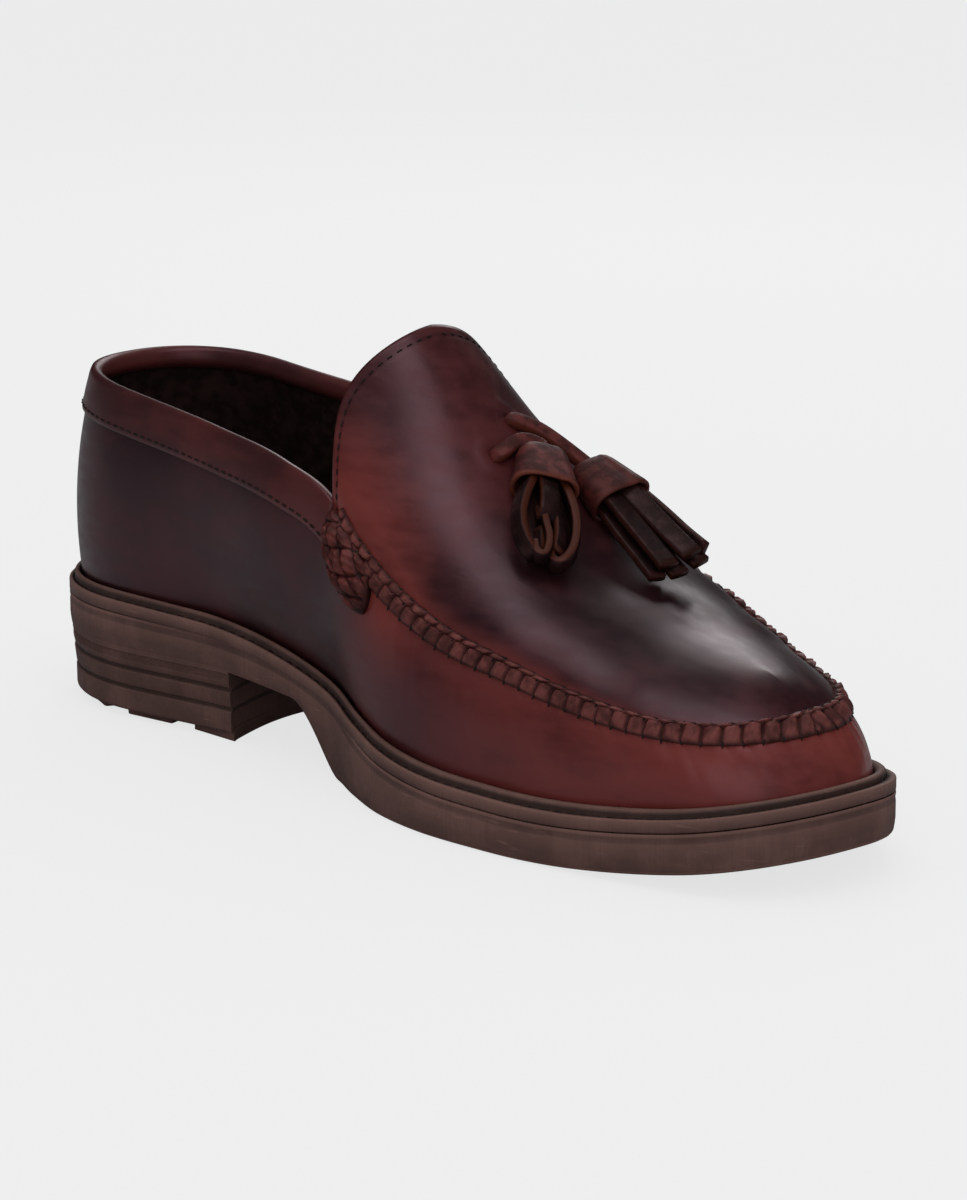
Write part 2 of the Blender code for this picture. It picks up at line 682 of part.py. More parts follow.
def build_upper(parts, tools, leather):
    """Hollow shell: one open surface, thickened inward."""
    ring = ring_columns()
    points = []
    index = {}
    for k, (side, s) in enumerate(ring):
        for j, w in enumerate(wall_rows(side, s)):
            index["wall", k, j] = len(points)
            points.append(wall_point(side, s, w))
    top_row = len(WALL_ROWS) + 1
    front = [k for k, (_, s) in enumerate(ring) if s >= 0.0]
    for k in front:
        side, s = ring[k]
        for j, q in enumerate(apron_rows(side, s)):
            if j == APRON_ROWS - 1 and side > 0:
                index["apron", k, j] = index["apron", mirrored(ring, k), j]
                continue
            index["apron", k, j] = len(points)
            points.append(apron_point(side, s, q))
    faces = []
    for k in range(len(ring)):
        n = (k + 1) % len(ring)
        for j in range(top_row):
            faces.append((index["wall", k, j], index["wall", n, j],
                          index["wall", n, j + 1], index["wall", k, j + 1]))
        if ring[k][1] < 0.0 or ring[n][1] < 0.0:
            continue
        rows = [[index["wall", c, top_row]] + [index["apron", c, j] for j in range(APRON_ROWS)]
                for c in (k, n)]
        for j in range(APRON_ROWS):
            quad = (rows[0][j], rows[1][j], rows[1][j + 1], rows[0][j + 1])
            faces.append(tuple(dict.fromkeys(quad)))
    upper = mesh_object("upper", points, faces, parts, leather)
    orient_outward(upper)
    shell = upper.modifiers.new("wall", 'SOLIDIFY')
    shell.thickness = WALL * MM
    shell.offset = -1.0
    shell.use_even_offset = True
    return upper


def mirrored(ring, k):
    """Index of the ring step on the inner side that shares the ridge with step k."""
    side, s = ring[k]
    return next(i for i, (other, t) in enumerate(ring) if other < 0 and t == s)


def orient_outward(shell):
    """Turn an open shell's faces away from the middle of the shoe."""
    work = bmesh.new()
    work.from_mesh(shell.data)
    work.faces.ensure_lookup_table()
    face = max(work.faces, key=lambda f: f.calc_center_median().z)
    if face.normal.z < 0:
        bmesh.ops.reverse_faces(work, faces=work.faces)
    work.to_mesh(shell.data)
    work.free()


def surface_normal(side, s, on_wall, value):
    """Outward normal of the upper's outer face, from its own function."""
    point = wall_point if on_wall else apron_point
    step = 0.02
    if abs(s) >= 1.0:
        across = np.array([0.0, 1.0, 0.0])
    else:
        low = -1.0 if on_wall else 0.0
        across = point(side, min(s + step, 1.0), value) - point(side, max(s - step, low), value)
    up = point(side, s, min(value + step, 1.0)) - point(side, s, max(value - step, 0.0))
    normal = np.cross(across, up)
    normal /= np.linalg.norm(normal)
    here = point(side, s, value)
    inside = np.array([min(max(here[0], HEEL_CENTRE_X), RIDGE_END_X), 0.0, HEEL_LIFT])
    return normal if np.dot(normal, here - inside) > 0 else -normal


def raised(point, normal, height):
    return tuple(point + normal * height)


def build_seam(parts, leather):
    """Raised hand-sewn seam where the wall and the apron meet, in front of the rolls."""
    sections = []
    start = (ROLL_COLUMNS - 0.5) / FRONT_COLUMNS
    cols = [(side, s) for side, s in ring_columns() if s > start]
    for end in (0, -1):
        side, s = cols[end]
        cols[end] = (side, s + SEAM_START)
    for side, s in cols:
        w = wall_rows(side, s)[-2]
        q = apron_rows(side, s)[0]
        on_wall = surface_normal(side, s, True, 0.97)
        on_apron = surface_normal(side, s, False, q)
        crest = on_wall + on_apron
        crest /= np.linalg.norm(crest)
        foot = wall_point(side, s, w)
        rim = rim_point(side, s)
        inner = apron_point(side, s, q)
        edge = SEAM_RISE * 0.5
        sections.append([
            raised(foot, on_wall, GAP), raised(rim, crest, GAP), raised(inner, on_apron, GAP),
            raised(inner, on_apron, GAP + edge),
            raised((inner + rim) / 2, on_apron + crest * 0.4, SEAM_RISE + GAP * 0.5),
            raised(rim, crest, GAP + SEAM_RISE),
            raised((foot + rim) / 2, on_wall + crest * 0.4, SEAM_RISE + GAP * 0.5),
            raised(foot, on_wall, GAP + edge)])
    points, faces = closed_loft(sections)
    return mesh_object("moc_seam", points, faces, parts, leather)


def build_collar_band(parts, leather):
    """Folded band along the collar from roll to roll, around the heel."""
    sections = []
    cols = columns()
    behind = [s for s in cols if s < 0.0]
    ring = [(-1, s) for s in [0.0] + behind[::-1]] + [(1, s) for s in behind[1:] + [0.0]]
    for side, s in ring:
        w = wall_rows(side, s)[-2]
        foot = wall_point(side, s, w)
        rim = rim_point(side, s)
        normal = surface_normal(side, s, True, 0.95)
        sections.append([raised(foot, normal, GAP), raised(rim, normal, GAP),
                         raised(rim, normal, GAP + BAND_THICKNESS),
                         raised(foot, normal, GAP + BAND_THICKNESS)])
    points, faces = closed_loft(sections)
    return mesh_object("collar_band", points, faces, parts, leather)


def build_roll(side, name, parts, leather):
    """Thick wrapped roll that closes the end of the seam at the notch."""
    reach = ROLL_COLUMNS / FRONT_COLUMNS
    spans = [reach * share for share in (0.03, 0.25, 0.5, 0.75, 0.97)]
    rows = 6
    sections = []
    for a, s in enumerate(spans):
        wall, _ = row_lengths(side, s)
        low = 1.0 - ROLL_HEIGHT / wall
        under = []
        over = []
        for b in range(rows):
            w = low + (1.0 - low) * b / (rows - 1)
            point = wall_point(side, s, w)
            normal = surface_normal(side, s, True, min(w, 0.97))
            across = math.sin(math.pi * (0.12 + 0.76 * a / (len(spans) - 1)))
            along = math.sin(math.pi * (0.10 + 0.72 * b / (rows - 1)))
            under.append(raised(point, normal, GAP))
            over.append(raised(point, normal, GAP + ROLL_THICKNESS * (across * along) ** 0.7))
        sections.append(under + over[::-1])
    points, faces = closed_loft(sections)
    return mesh_object(name, points, faces, parts, leather)


def build_insole(parts, lining):
    """Footbed inside the wall, resting on the sole."""
    cols = columns()
    low = []
    high = []
    for side, s in ring_columns():
        edge, outward, margin = sole_edge(side, s)
        point = edge - outward * (margin + WALL + 2.5 * GAP)
        base = platform(point[0]) + 1.5 * GAP
        low.append((*point, base))
        high.append((*point, base + INSOLE_THICKNESS))
    points, faces = loft([low, high], False)
    faces += cross_caps(len(low), len(cols), 0, False)
    faces += cross_caps(len(low), len(cols), len(low), True)
    return mesh_object("insole", points, faces, parts, lining)


class Skin:
    """Outer face of the apron, for what lies on it."""

    def __init__(self):
        rows = 17
        cols = 41
        self.points = []
        faces = []
        for side in (-1, 1):
            base = len(self.points)
            for i in range(cols):
                for j in range(rows):
                    self.points.append(Vector(apron_point(side, i / (cols - 1), j / (rows - 1))))
            for i in range(cols - 1):
                for j in range(rows - 1):
                    a = base + i * rows + j
                    faces.append((a, a + 1, a + rows + 1, a + rows))
        self.tree = BVHTree.FromPolygons(self.points, faces)

    def above(self, x, y):
        """Point of the skin under a plan position, and its upward normal."""
        hit, normal, _, _ = self.tree.ray_cast(Vector((x, y, 300.0)), Vector((0, 0, -1)))
        normal = normal if normal.z > 0 else -normal
        return hit, normal

    def clearance(self, point):
        """Height of a point over the skin, along the skin's normal."""
        hit, normal, _, _ = self.tree.find_nearest(point)
        normal = normal if normal.z > 0 else -normal
        return (point - hit).dot(normal)


def tassel_band():
    """Wrapped band of a tassel, from its head at z = 0 down."""
    sections = []
    for share, size in ((0.0, 0.78), (0.08, 1.0), (0.94, 1.06), (1.0, 0.98)):
        ring = []
        for a in np.linspace(0, 2 * math.pi, 15)[:-1]:
            x = math.copysign(abs(math.cos(a)) ** 0.7, math.cos(a)) * TASSEL_BAND_WIDTH / 2
            y = math.copysign(abs(math.sin(a)) ** 0.8, math.sin(a)) * TASSEL_BAND_DEPTH / 2
            ring.append((x * size, y * size, -share * TASSEL_BAND_HEIGHT))
        sections.append(ring)
    return closed_loft(sections)


def tassel_strip(x, y, fan, curl):
    """One strip, rooted inside the band and spreading as it falls."""
    sections = []
    root = TASSEL_BAND_HEIGHT / 2
    half = STRIP_WIDTH / 2
    thick = STRIP_THICKNESS / 2
    for share in (0.0, 0.25, 0.5, 0.75, 1.0):
        fall = root + (STRIP_LENGTH + root) * share
        cx = x + fan * share ** 1.4
        cy = y + curl * share ** 2
        sections.append([(cx - half, cy - thick, -fall), (cx + half, cy - thick, -fall),
                         (cx + half, cy + thick, -fall), (cx - half, cy + thick, -fall)])
    return closed_loft(sections)


def build_tassel(name, head, tip, lean, skin, parts, tools, leather):
    """Band and strips fused into one solid that lies on the apron."""
    pitch = STRIP_WIDTH + STRIP_GAP
    strips = [tassel_strip(pitch * k, TASSEL_BAND_DEPTH * layer, STRIP_FAN * k, curl)
              for layer, curl in ((0.25, STRIP_CURL), (-0.21, 0.0)) for k in (-1, 0, 1)]
    start, normal_head = skin.above(*head)
    end, normal_tip = skin.above(*tip)
    axis = (start - end).normalized()
    normal = (normal_head + normal_tip).normalized()
    normal = (normal - axis * normal.dot(axis)).normalized()
    normal = (normal + normal.cross(axis) * math.tan(math.radians(lean))).normalized()
    across = normal.cross(axis).normalized()
    turn = Matrix((across, normal, axis)).transposed()
    band_points, band_faces = tassel_band()
    strip_points, strip_faces = join(strips)
    place = [start + turn @ Vector(p) for p in band_points + strip_points]
    lift = TASSEL_SEAT - min(skin.clearance(p) for p in place)
    place = [p + normal * lift for p in place]
    count = len(band_points)
    tassel = mesh_object(name, place[:count], band_faces, parts, leather)
    tool = make_tool(name + " strips", place[count:], strip_faces, tools)
    boolean(tassel, tool, 'UNION')
    return start + normal * lift, axis


def smooth_route(stops, steps):
    """Points on a smooth curve through the stops."""
    ends = [2 * stops[0] - stops[1]] + stops + [2 * stops[-1] - stops[-2]]
    route = []
    for k in range(1, len(ends) - 2):
        a, b, c, d = ends[k - 1:k + 3]
        for j in range(steps):
            t = j / steps
            route.append(0.5 * (2 * b + (c - a) * t + (2 * a - 5 * b + 4 * c - d) * t * t
                                + (3 * b - a - 3 * c + d) * t ** 3))
    return route + [stops[-1]]


def build_thong(slots, heads, skin, parts, leather):
    """Thong that goes down one slot, along under the apron and up the other."""
    radius = THONG_THICKNESS / 2
    below = WALL + radius + 2 * GAP
    stops = []
    for slot, (head, axis) in zip(slots, heads):
        point, normal = skin.above(*slot)
        end = head + axis * GAP
        rise = point + normal * (radius + THONG_RISE)
        out = head + axis * 4.0 * radius
        bend = (out + rise) / 2 + axis * THONG_BEND
        arm = [end, out, bend, rise, point - normal * WALL / 2, point - normal * below]
        stops.append(arm)
    route = stops[0] + stops[1][::-1]
    points = to_metres([tuple(p) for p in smooth_route(route, 4)])
    curve = bpy.data.curves.new("tassel_thong", 'CURVE')
    curve.dimensions = '3D'
    spline = curve.splines.new('POLY')
    spline.points.add(len(points) - 1)
    for knot, p in zip(spline.points, points):
        knot.co = (*p, 1.0)
    curve.bevel_depth = radius * MM
    curve.bevel_resolution = 2
    curve.use_fill_caps = True
    curve.materials.append(leather)
    thong = bpy.data.objects.new("tassel_thong", curve)
    parts.objects.link(thong)


def cut_slots(upper, slots, skin, tools):
    """Two slots through the apron for the thong."""
    half = THONG_THICKNESS / 2 + SLOT_CLEARANCE
    cutters = []
    for x, y in slots:
        point, normal = skin.above(x, y)
        side = normal.cross(Vector((1, 0, 0))).normalized()
        front = side.cross(normal)
        sections = []
        for level in (WALL, -WALL * 2.2):
            centre = point + normal * level
            sections.append([tuple(centre + side * a * (half + SLOT_STRETCH) + front * b * half)
                             for a, b in ((-1, -1), (1, -1), (1, 1), (-1, 1))])
        cutters.append(closed_loft(sections))
    boolean(upper, make_tool("thong slots", *join(cutters), tools), 'DIFFERENCE')


def main():
    for old in list(bpy.data.objects):
        bpy.data.objects.remove(old, do_unlink=True)
    parts = bpy.data.collections.new("tassel loafer")
    tools = bpy.data.collections.new("cutters")
    for made in (parts, tools):
        bpy.context.scene.collection.children.link(made)

    rubber = material("brown rubber", (0.070, 0.047, 0.043), 0.62)
    welt_rubber = material("welt rubber", (0.080, 0.052, 0.046), 0.55)
    leather = material("burgundy leather", (0.090, 0.022, 0.020), 0.28)
    trim = material("red brown leather", (0.105, 0.030, 0.024), 0.40)
    lining = material("dark lining", (0.030, 0.018, 0.016), 0.70)

    build_outsole(parts, tools, rubber)
    build_welt(parts, welt_rubber)
    upper = build_upper(parts, tools, leather)
    build_insole(parts, lining)
    build_seam(parts, trim)
    build_collar_band(parts, trim)
    build_roll(-1, "beefroll_medial", parts, trim)
    build_roll(1, "beefroll_lateral", parts, trim)

    skin = Skin()
    slots = [SLOT_NEAR, SLOT_FAR]
    cut_slots(upper, slots, skin, tools)
    heads = [build_tassel("tassel_near", HEAD_NEAR, TIP_NEAR, 0.0, skin, parts, tools, trim),
             build_tassel("tassel_far", HEAD_FAR, TIP_FAR, LEAN_FAR, skin, parts, tools, trim)]
    build_thong(slots, heads, skin, parts, trim)


main()
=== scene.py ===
import math

import bmesh
import bpy
import numpy as np
from mathutils import Matrix, Vector
from mathutils.bvhtree import BVHTree


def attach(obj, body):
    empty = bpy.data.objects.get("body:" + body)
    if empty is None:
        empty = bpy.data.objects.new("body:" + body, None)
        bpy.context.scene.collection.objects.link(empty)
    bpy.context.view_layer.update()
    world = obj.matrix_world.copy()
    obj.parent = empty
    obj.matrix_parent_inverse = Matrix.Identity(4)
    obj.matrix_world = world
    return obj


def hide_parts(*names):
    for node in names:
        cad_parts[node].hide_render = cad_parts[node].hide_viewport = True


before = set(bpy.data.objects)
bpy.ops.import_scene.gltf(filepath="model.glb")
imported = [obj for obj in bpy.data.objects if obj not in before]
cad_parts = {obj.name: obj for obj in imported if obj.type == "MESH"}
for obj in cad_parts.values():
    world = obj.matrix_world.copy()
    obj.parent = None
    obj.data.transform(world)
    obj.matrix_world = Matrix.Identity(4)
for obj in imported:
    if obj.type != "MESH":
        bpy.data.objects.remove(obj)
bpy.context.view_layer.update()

# Looks of the tassel loafer. Lengths are in millimetres in the shoe's own frame, heel at
# x = 0 and floor at z = 0, until metres() puts them in the row's frame. side is -1 for the
# inner side and 1 for the outer. A column s runs from -1 at the heel over 0 at the notch,
# where collar and seam meet, to 1 at the toe. On the wall w runs from 0 at the welt to 1 at
# the rim, and on the apron q runs from 0 at the rim to 1 at the ridge.
MM = 0.001
GAP = 0.3

SOLE_LENGTH = 296.0
BALL_WIDTH = 109.0
HEEL_ROUND = 45.0
TOE_ROUND = 30.0
HEEL_LIFT = 30.0
TOE_SPRING = 10.5
SPRING_START = 0.716
NOTCH_X = 138.0
COLLAR_BACK = 8.0
COLLAR_ROUND = 34.0
COLLAR_HEIGHT = 94.0
APRON_TOE = 278.3
APRON_TOE_ROUND = 34.0
INSTEP_HEIGHT = 119.5
TONGUE_X = 135.7
RIDGE_END_X = 262.0
TONGUE_BOW = 5.6
HEEL_CENTRE_X = 60.0
WALL = 2.0
SKIN = 1.1
SIDE_NAME = {-1: "medial", 1: "lateral"}
SIDES = (-1, 1)


class Table:
    """Rows with named columns, read smoothly between the rows."""

    def __init__(self, columns, rows):
        self.column = {name: np.array([row[k] for row in rows], float)
                       for k, name in enumerate(columns)}
        self.keys = self.column[columns[0]]

    def read(self, name, key):
        keys = self.keys
        values = self.column[name]
        key = np.clip(key, keys[0], keys[-1])
        k = np.clip(np.searchsorted(keys, key) - 1, 0, len(keys) - 2)
        slopes = np.gradient(values, keys)
        step = keys[k + 1] - keys[k]
        s = (key - keys[k]) / step
        start = (1 + 2 * s) * (1 - s) ** 2 * values[k] + s * (1 - s) ** 2 * step * slopes[k]
        end = s * s * (3 - 2 * s) * values[k + 1] + s * s * (s - 1) * step * slopes[k + 1]
        return start + end


OUTLINE = Table(("along", "medial", "lateral", "margin", "medial_bulge", "lateral_bulge"), [
    (0.000, 0.330, 0.335, 0.040, 0.034, 0.034),
    (0.150, 0.335, 0.350, 0.040, 0.034, 0.034),
    (0.290, 0.285, 0.358, 0.040, 0.055, 0.036),
    (0.360, 0.280, 0.413, 0.040, 0.066, 0.036),
    (0.450, 0.308, 0.460, 0.044, 0.054, 0.034),
    (0.500, 0.372, 0.491, 0.048, 0.040, 0.034),
    (0.555, 0.431, 0.525, 0.050, 0.030, 0.032),
    (0.620, 0.463, 0.537, 0.054, 0.028, 0.030),
    (0.700, 0.459, 0.502, 0.056, 0.026, 0.028),
    (0.785, 0.431, 0.440, 0.056, 0.024, 0.026),
    (0.840, 0.399, 0.388, 0.056, 0.024, 0.024),
    (0.900, 0.358, 0.328, 0.056, 0.027, 0.027),
    (1.000, 0.275, 0.205, 0.056, 0.030, 0.030)])
PLATFORM = Table(("along", "height"), [
    (0.00, 1.000), (0.20, 1.000), (0.30, 0.955), (0.37, 0.860), (0.44, 0.700),
    (0.51, 0.550), (0.58, 0.445), (0.65, 0.385), (0.71, 0.367), (1.00, 0.367)])
RIM = Table(("along", "medial", "lateral", "medial_height", "lateral_height"), [
    (0.000, 0.262, 0.262, 1.000, 1.000),
    (0.080, 0.262, 0.262, 0.990, 0.990),
    (0.170, 0.270, 0.270, 0.966, 0.966),
    (0.290, 0.292, 0.294, 0.934, 0.934),
    (0.390, 0.318, 0.320, 0.896, 0.896),
    (0.466, 0.342, 0.342, 0.824, 0.824),
    (0.510, 0.362, 0.360, 0.716, 0.726),
    (0.560, 0.374, 0.384, 0.628, 0.660),
    (0.620, 0.375, 0.394, 0.554, 0.606),
    (0.700, 0.364, 0.380, 0.504, 0.543),
    (0.770, 0.338, 0.352, 0.456, 0.472),
    (0.840, 0.308, 0.310, 0.432, 0.422),
    (0.900, 0.278, 0.266, 0.423, 0.420),
    (1.000, 0.210, 0.176, 0.463, 0.463)])
RIDGE = Table(("along", "height", "side"), [
    (0.440, 1.050, 0.000), (0.480, 0.955, 0.000), (0.515, 0.863, 0.000),
    (0.560, 0.748, 0.000), (0.610, 0.651, 0.000), (0.670, 0.564, 0.004),
    (0.740, 0.495, 0.004), (0.810, 0.451, 0.000), (0.880, 0.419, -0.008),
    (0.940, 0.399, -0.014), (1.000, 0.388, -0.018)])


def smoothstep(start, end, value):
    s = np.clip((value - start) / (end - start), 0.0, 1.0)
    return s * s * (3 - 2 * s)


def hump(centre, reach, value):
    """1 at the centre, falling smoothly to 0 at the reach on either side."""
    return 1.0 - smoothstep(0.0, reach, np.abs(value - centre))


def unit(vectors):
    return vectors / np.maximum(np.linalg.norm(vectors, axis=-1, keepdims=True), 1e-12)


def extended(points, column):
    """Points with one more number at the end of each, such as a height."""
    return np.concatenate([points, np.broadcast_to(column, points.shape[:-1])[..., None]], -1)


def crossed(first, second):
    """The coordinates of a grid whose rows follow the first and columns the second."""
    return np.meshgrid(first, second, indexing='ij')


def circle(count):
    """Angles of equal steps around a circle."""
    return np.linspace(0.0, 2 * math.pi, count + 1)[:-1]


def squared(wave, power):
    """Sine or cosine flattened towards its peaks, for the section of a rounded bar."""
    return np.sign(wave) * np.abs(wave) ** power


def round_end(distance, length, power):
    inner = 1.0 - np.clip(distance / length, 0.0, 1.0)
    return (1.0 - inner ** power) ** (1.0 / power)


def half_width(side, x):
    ends = round_end(x, HEEL_ROUND, 2.3) * round_end(SOLE_LENGTH - x, TOE_ROUND, 2.5)
    return OUTLINE.read(SIDE_NAME[side], x / SOLE_LENGTH) * BALL_WIDTH * ends


def rim_width(side, x):
    ends = (round_end(x - COLLAR_BACK, COLLAR_ROUND, 2.2)
            * round_end(APRON_TOE - x, APRON_TOE_ROUND, 2.2))
    return RIM.read(SIDE_NAME[side], x / SOLE_LENGTH) * BALL_WIDTH * ends


def spring(x):
    share = np.maximum(x / SOLE_LENGTH - SPRING_START, 0.0) / (1.0 - SPRING_START)
    return TOE_SPRING * share ** 2.1


def platform(x):
    return PLATFORM.read("height", x / SOLE_LENGTH) * HEEL_LIFT + spring(x)


class Rail:
    """One side of a closed outline from the heel to the toe, read by share of its arc."""

    def __init__(self, side, start, end, width):
        angles = np.linspace(0.0, math.pi, 720)
        x = start + (end - start) * (1.0 - np.cos(angles)) / 2.0
        self.points = np.stack([x, side * width(side, x)], -1)
        steps = np.hypot(*np.diff(self.points, axis=0).T)
        arc = np.concatenate([[0.0], np.cumsum(steps)])
        self.arc = arc / arc[-1]
        self.side = side

    def at(self, share):
        return np.stack([np.interp(share, self.arc, self.points[:, k]) for k in (0, 1)], -1)

    def column(self, s):
        """Share of the arc for the column s."""
        notch = np.interp(NOTCH_X, self.points[:, 0], self.arc)
        return np.where(s < 0, notch * (1.0 + s), notch + (1.0 - notch) * s)

    def outward(self, share):
        step = 0.004
        run = self.at(np.minimum(share + step, 1.0)) - self.at(np.maximum(share - step, 0.0))
        normal = np.stack([-run[..., 1], run[..., 0]], -1) * self.side
        normal[share <= 0.0] = (-1.0, 0.0)
        normal[share >= 1.0] = (1.0, 0.0)
        return unit(normal)


SOLE_RAILS = {side: Rail(side, 0.0, SOLE_LENGTH, half_width) for side in SIDES}
RIM_RAILS = {side: Rail(side, COLLAR_BACK, APRON_TOE, rim_width) for side in SIDES}
WIDEST = {side: abs(rail.points[:, 1]).max() for side, rail in SOLE_RAILS.items()}
ORIGIN = np.array([SOLE_LENGTH / 2, (WIDEST[1] - WIDEST[-1]) / 2, 0.0])


def metres(points):
    return (np.asarray(points, float) - ORIGIN) * MM


def sole_edge(side, s):
    """Points of the sole's outline, their outward normals and the margins there."""
    rail = SOLE_RAILS[side]
    share = rail.column(s)
    points = rail.at(share)
    margin = OUTLINE.read("margin", points[..., 0] / SOLE_LENGTH) * BALL_WIDTH
    return points, rail.outward(share), margin


def rim(side, s):
    rail = RIM_RAILS[side]
    x, y = np.moveaxis(rail.at(rail.column(s)), -1, 0)
    along = x / SOLE_LENGTH
    own, other = (SIDE_NAME[some] + "_height" for some in (side, -side))
    blend = 0.5 * smoothstep(0.93, 1.0, x / APRON_TOE)
    height = RIM.read(own, along) * (1.0 - blend) + RIM.read(other, along) * blend
    y = y + RIDGE.read("side", 1.0) * BALL_WIDTH * smoothstep(0.80, 1.0, x / APRON_TOE)
    return np.stack([x, y, height * COLLAR_HEIGHT], -1)


def wall(side, s, w):
    """Outer face of the wall."""
    edge, outward, margin = sole_edge(side, s)
    foot = edge - outward * margin[..., None]
    low = extended(foot, platform(foot[..., 0]) + GAP)
    share = OUTLINE.read(SIDE_NAME[side] + "_bulge", foot[..., 0] / SOLE_LENGTH)
    bulge = share * BALL_WIDTH * 4.0 * w * (1.0 - w)
    point = low + (rim(side, s) - low) * w[..., None]
    point[..., :2] += outward * bulge[..., None]
    return point


def apron(side, s, q):
    """Outer face of apron and tongue."""
    edge = rim(side, s)
    top_x = TONGUE_X + (RIDGE_END_X - TONGUE_X) * (0.75 * np.sin(math.pi / 2 * s) + 0.25 * s)
    along = top_x / SOLE_LENGTH
    top_y = RIDGE.read("side", along) * BALL_WIDTH
    spread = np.sin(math.pi / 2 * (1.0 - q))
    own_x = top_x + (edge[..., 0] - top_x) * spread
    top_z = RIDGE.read("height", own_x / SOLE_LENGTH) * INSTEP_HEIGHT
    bow = TONGUE_BOW * (1.0 - smoothstep(0.0, 0.25, s)) * np.sin(math.pi * spread ** 2)
    roundness = 1.85 - 0.57 * smoothstep(0.0, 0.9, s)
    level = np.maximum(1.0 - spread ** 2, 0.0) ** (1.0 / roundness)
    return np.stack([own_x - bow,
                     top_y + (edge[..., 1] - top_y) * spread,
                     edge[..., 2] + (top_z - edge[..., 2]) * level], -1)


def normals(surface, side, s, v):
    """Outward normals of wall or apron."""
    step = 0.012
    low = 0.0 if surface is apron else -1.0
    across = (surface(side, np.minimum(s + step, 1.0), v)
              - surface(side, np.maximum(s - step, low), v))
    across = np.where((np.abs(s) > 0.9999)[..., None], (0.0, 1.0, 0.0), across)
    up = (surface(side, s, np.minimum(v + step, 1.0))
          - surface(side, s, np.maximum(v - step, 0.0)))
    normal = unit(np.cross(across, up))
    here = surface(side, s, v)
    middle = np.stack([np.clip(here[..., 0], HEEL_CENTRE_X, RIDGE_END_X),
                       np.zeros(s.shape), np.full(s.shape, HEEL_LIFT)], -1)
    turned = np.sum(normal * (here - middle), -1, keepdims=True) < 0
    return np.where(turned, -normal, normal)


def both_sides(columns, make):
    """Rows of make(side, columns) along the inner side and back along the outer side."""
    inner = make(-1, columns)
    outer = make(1, columns[::-1])
    skip_toe = 1 if columns[-1] >= 1.0 else 0
    skip_heel = 1 if columns[0] <= -1.0 else 0
    return np.concatenate([inner, outer[skip_toe:len(outer) - skip_heel]])


# Meshes

def add_mesh(name, points, faces, slot, stands_for=(), finish=None, weld=0.0):
    """A piece from design points, on the shoe's one body."""
    mesh = bpy.data.meshes.new(name)
    mesh.from_pydata(metres(points).tolist(), [], [tuple(int(k) for k in f) for f in faces])
    mesh.validate()
    work = bmesh.new()
    work.from_mesh(mesh)
    if weld:
        bmesh.ops.remove_doubles(work, verts=work.verts, dist=weld * MM)
    bmesh.ops.recalc_face_normals(work, faces=work.faces)
    work.to_mesh(mesh)
    work.free()
    mesh.shade_smooth()
    piece = bpy.data.objects.new(name, mesh)
    bpy.context.scene.collection.objects.link(piece)
    if finish:
        mesh.materials.append(finish)
    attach(piece, "root")
    if stands_for:
        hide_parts(*stands_for)
    return piece


def grid_faces(rows, count, close_rows=False, close_count=False):
    """Quads of a grid of rows by count points."""
    i = np.arange(rows if close_rows else rows - 1)[:, None]
    j = np.arange(count if close_count else count - 1)[None, :]
    n = (i + 1) % rows
    m = (j + 1) % count
    quads = np.stack([i * count + j, n * count + j, n * count + m, i * count + m], -1)
    return quads.reshape(-1, 4).tolist()


def joined(pieces):
    """Points and faces of several (points, faces)."""
    points = []
    faces = []
    base = 0
    for p, f in pieces:
        points.append(np.asarray(p, float).reshape(-1, 3))
        faces += [tuple(k + base for k in face) for face in f]
        base += len(points[-1])
    return np.concatenate(points), faces


def tube(rings, closed=False):
    """Points and faces of rings of points, capped unless the path is closed."""
    rows, count, _ = rings.shape
    faces = grid_faces(rows, count, close_rows=closed, close_count=True)
    if not closed:
        faces.append(list(range(count))[::-1])
        faces.append(list(range((rows - 1) * count, rows * count)))
    return rings.reshape(-1, 3), faces


def arc_length(points):
    return np.concatenate([[0.0], np.cumsum(np.linalg.norm(np.diff(points, axis=0), axis=-1))])


def points_at(at, way, line):
    """Points of a line at the given ways along it."""
    return np.stack([np.interp(at, way, line[:, k]) for k in range(3)], -1)


def resample(points, step):
    """Points every step along a polyline."""
    arc = arc_length(points)
    count = max(int(round(arc[-1] / step)), 2)
    at = (np.arange(count) + 0.5) * arc[-1] / count
    return points_at(at, arc, points)


def thread_ring(across, out):
    """Six ways around a thread at each of its points."""
    turns = circle(6)[:, None]
    return across[:, None] * np.cos(turns) + out[:, None] * np.sin(turns)


def stitches(name, centres, along, normal, slot, length, radius, lift=0.35):
    """Short arched threads whose ends dive into the leather."""
    along = unit(along)
    normal = unit(normal - along * np.sum(along * normal, -1, keepdims=True))
    across = np.cross(along, normal)
    stops = np.array([-1.0, -0.86, -0.5, 0.0, 0.5, 0.86, 1.0])
    thick = np.array([0.35, 0.85, 1.0, 1.0, 1.0, 0.85, 0.35]) * radius
    length = np.broadcast_to(length, (len(centres),))[:, None, None]
    core = (centres[:, None] + along[:, None] * stops[None, :, None] * length / 2
            + normal[:, None] * ((1 - 1.6 * stops ** 4) * radius * lift * 2)[None, :, None])
    points = core[:, :, None] + thread_ring(across, normal)[:, None] * thick[:, None, None]
    add_mesh(name, *joined([tube(p) for p in points]), slot, finish=THREAD)


# Materials

def scaled(colour, share):
    """Colour made darker or lighter."""
    return tuple(share * c for c in colour)


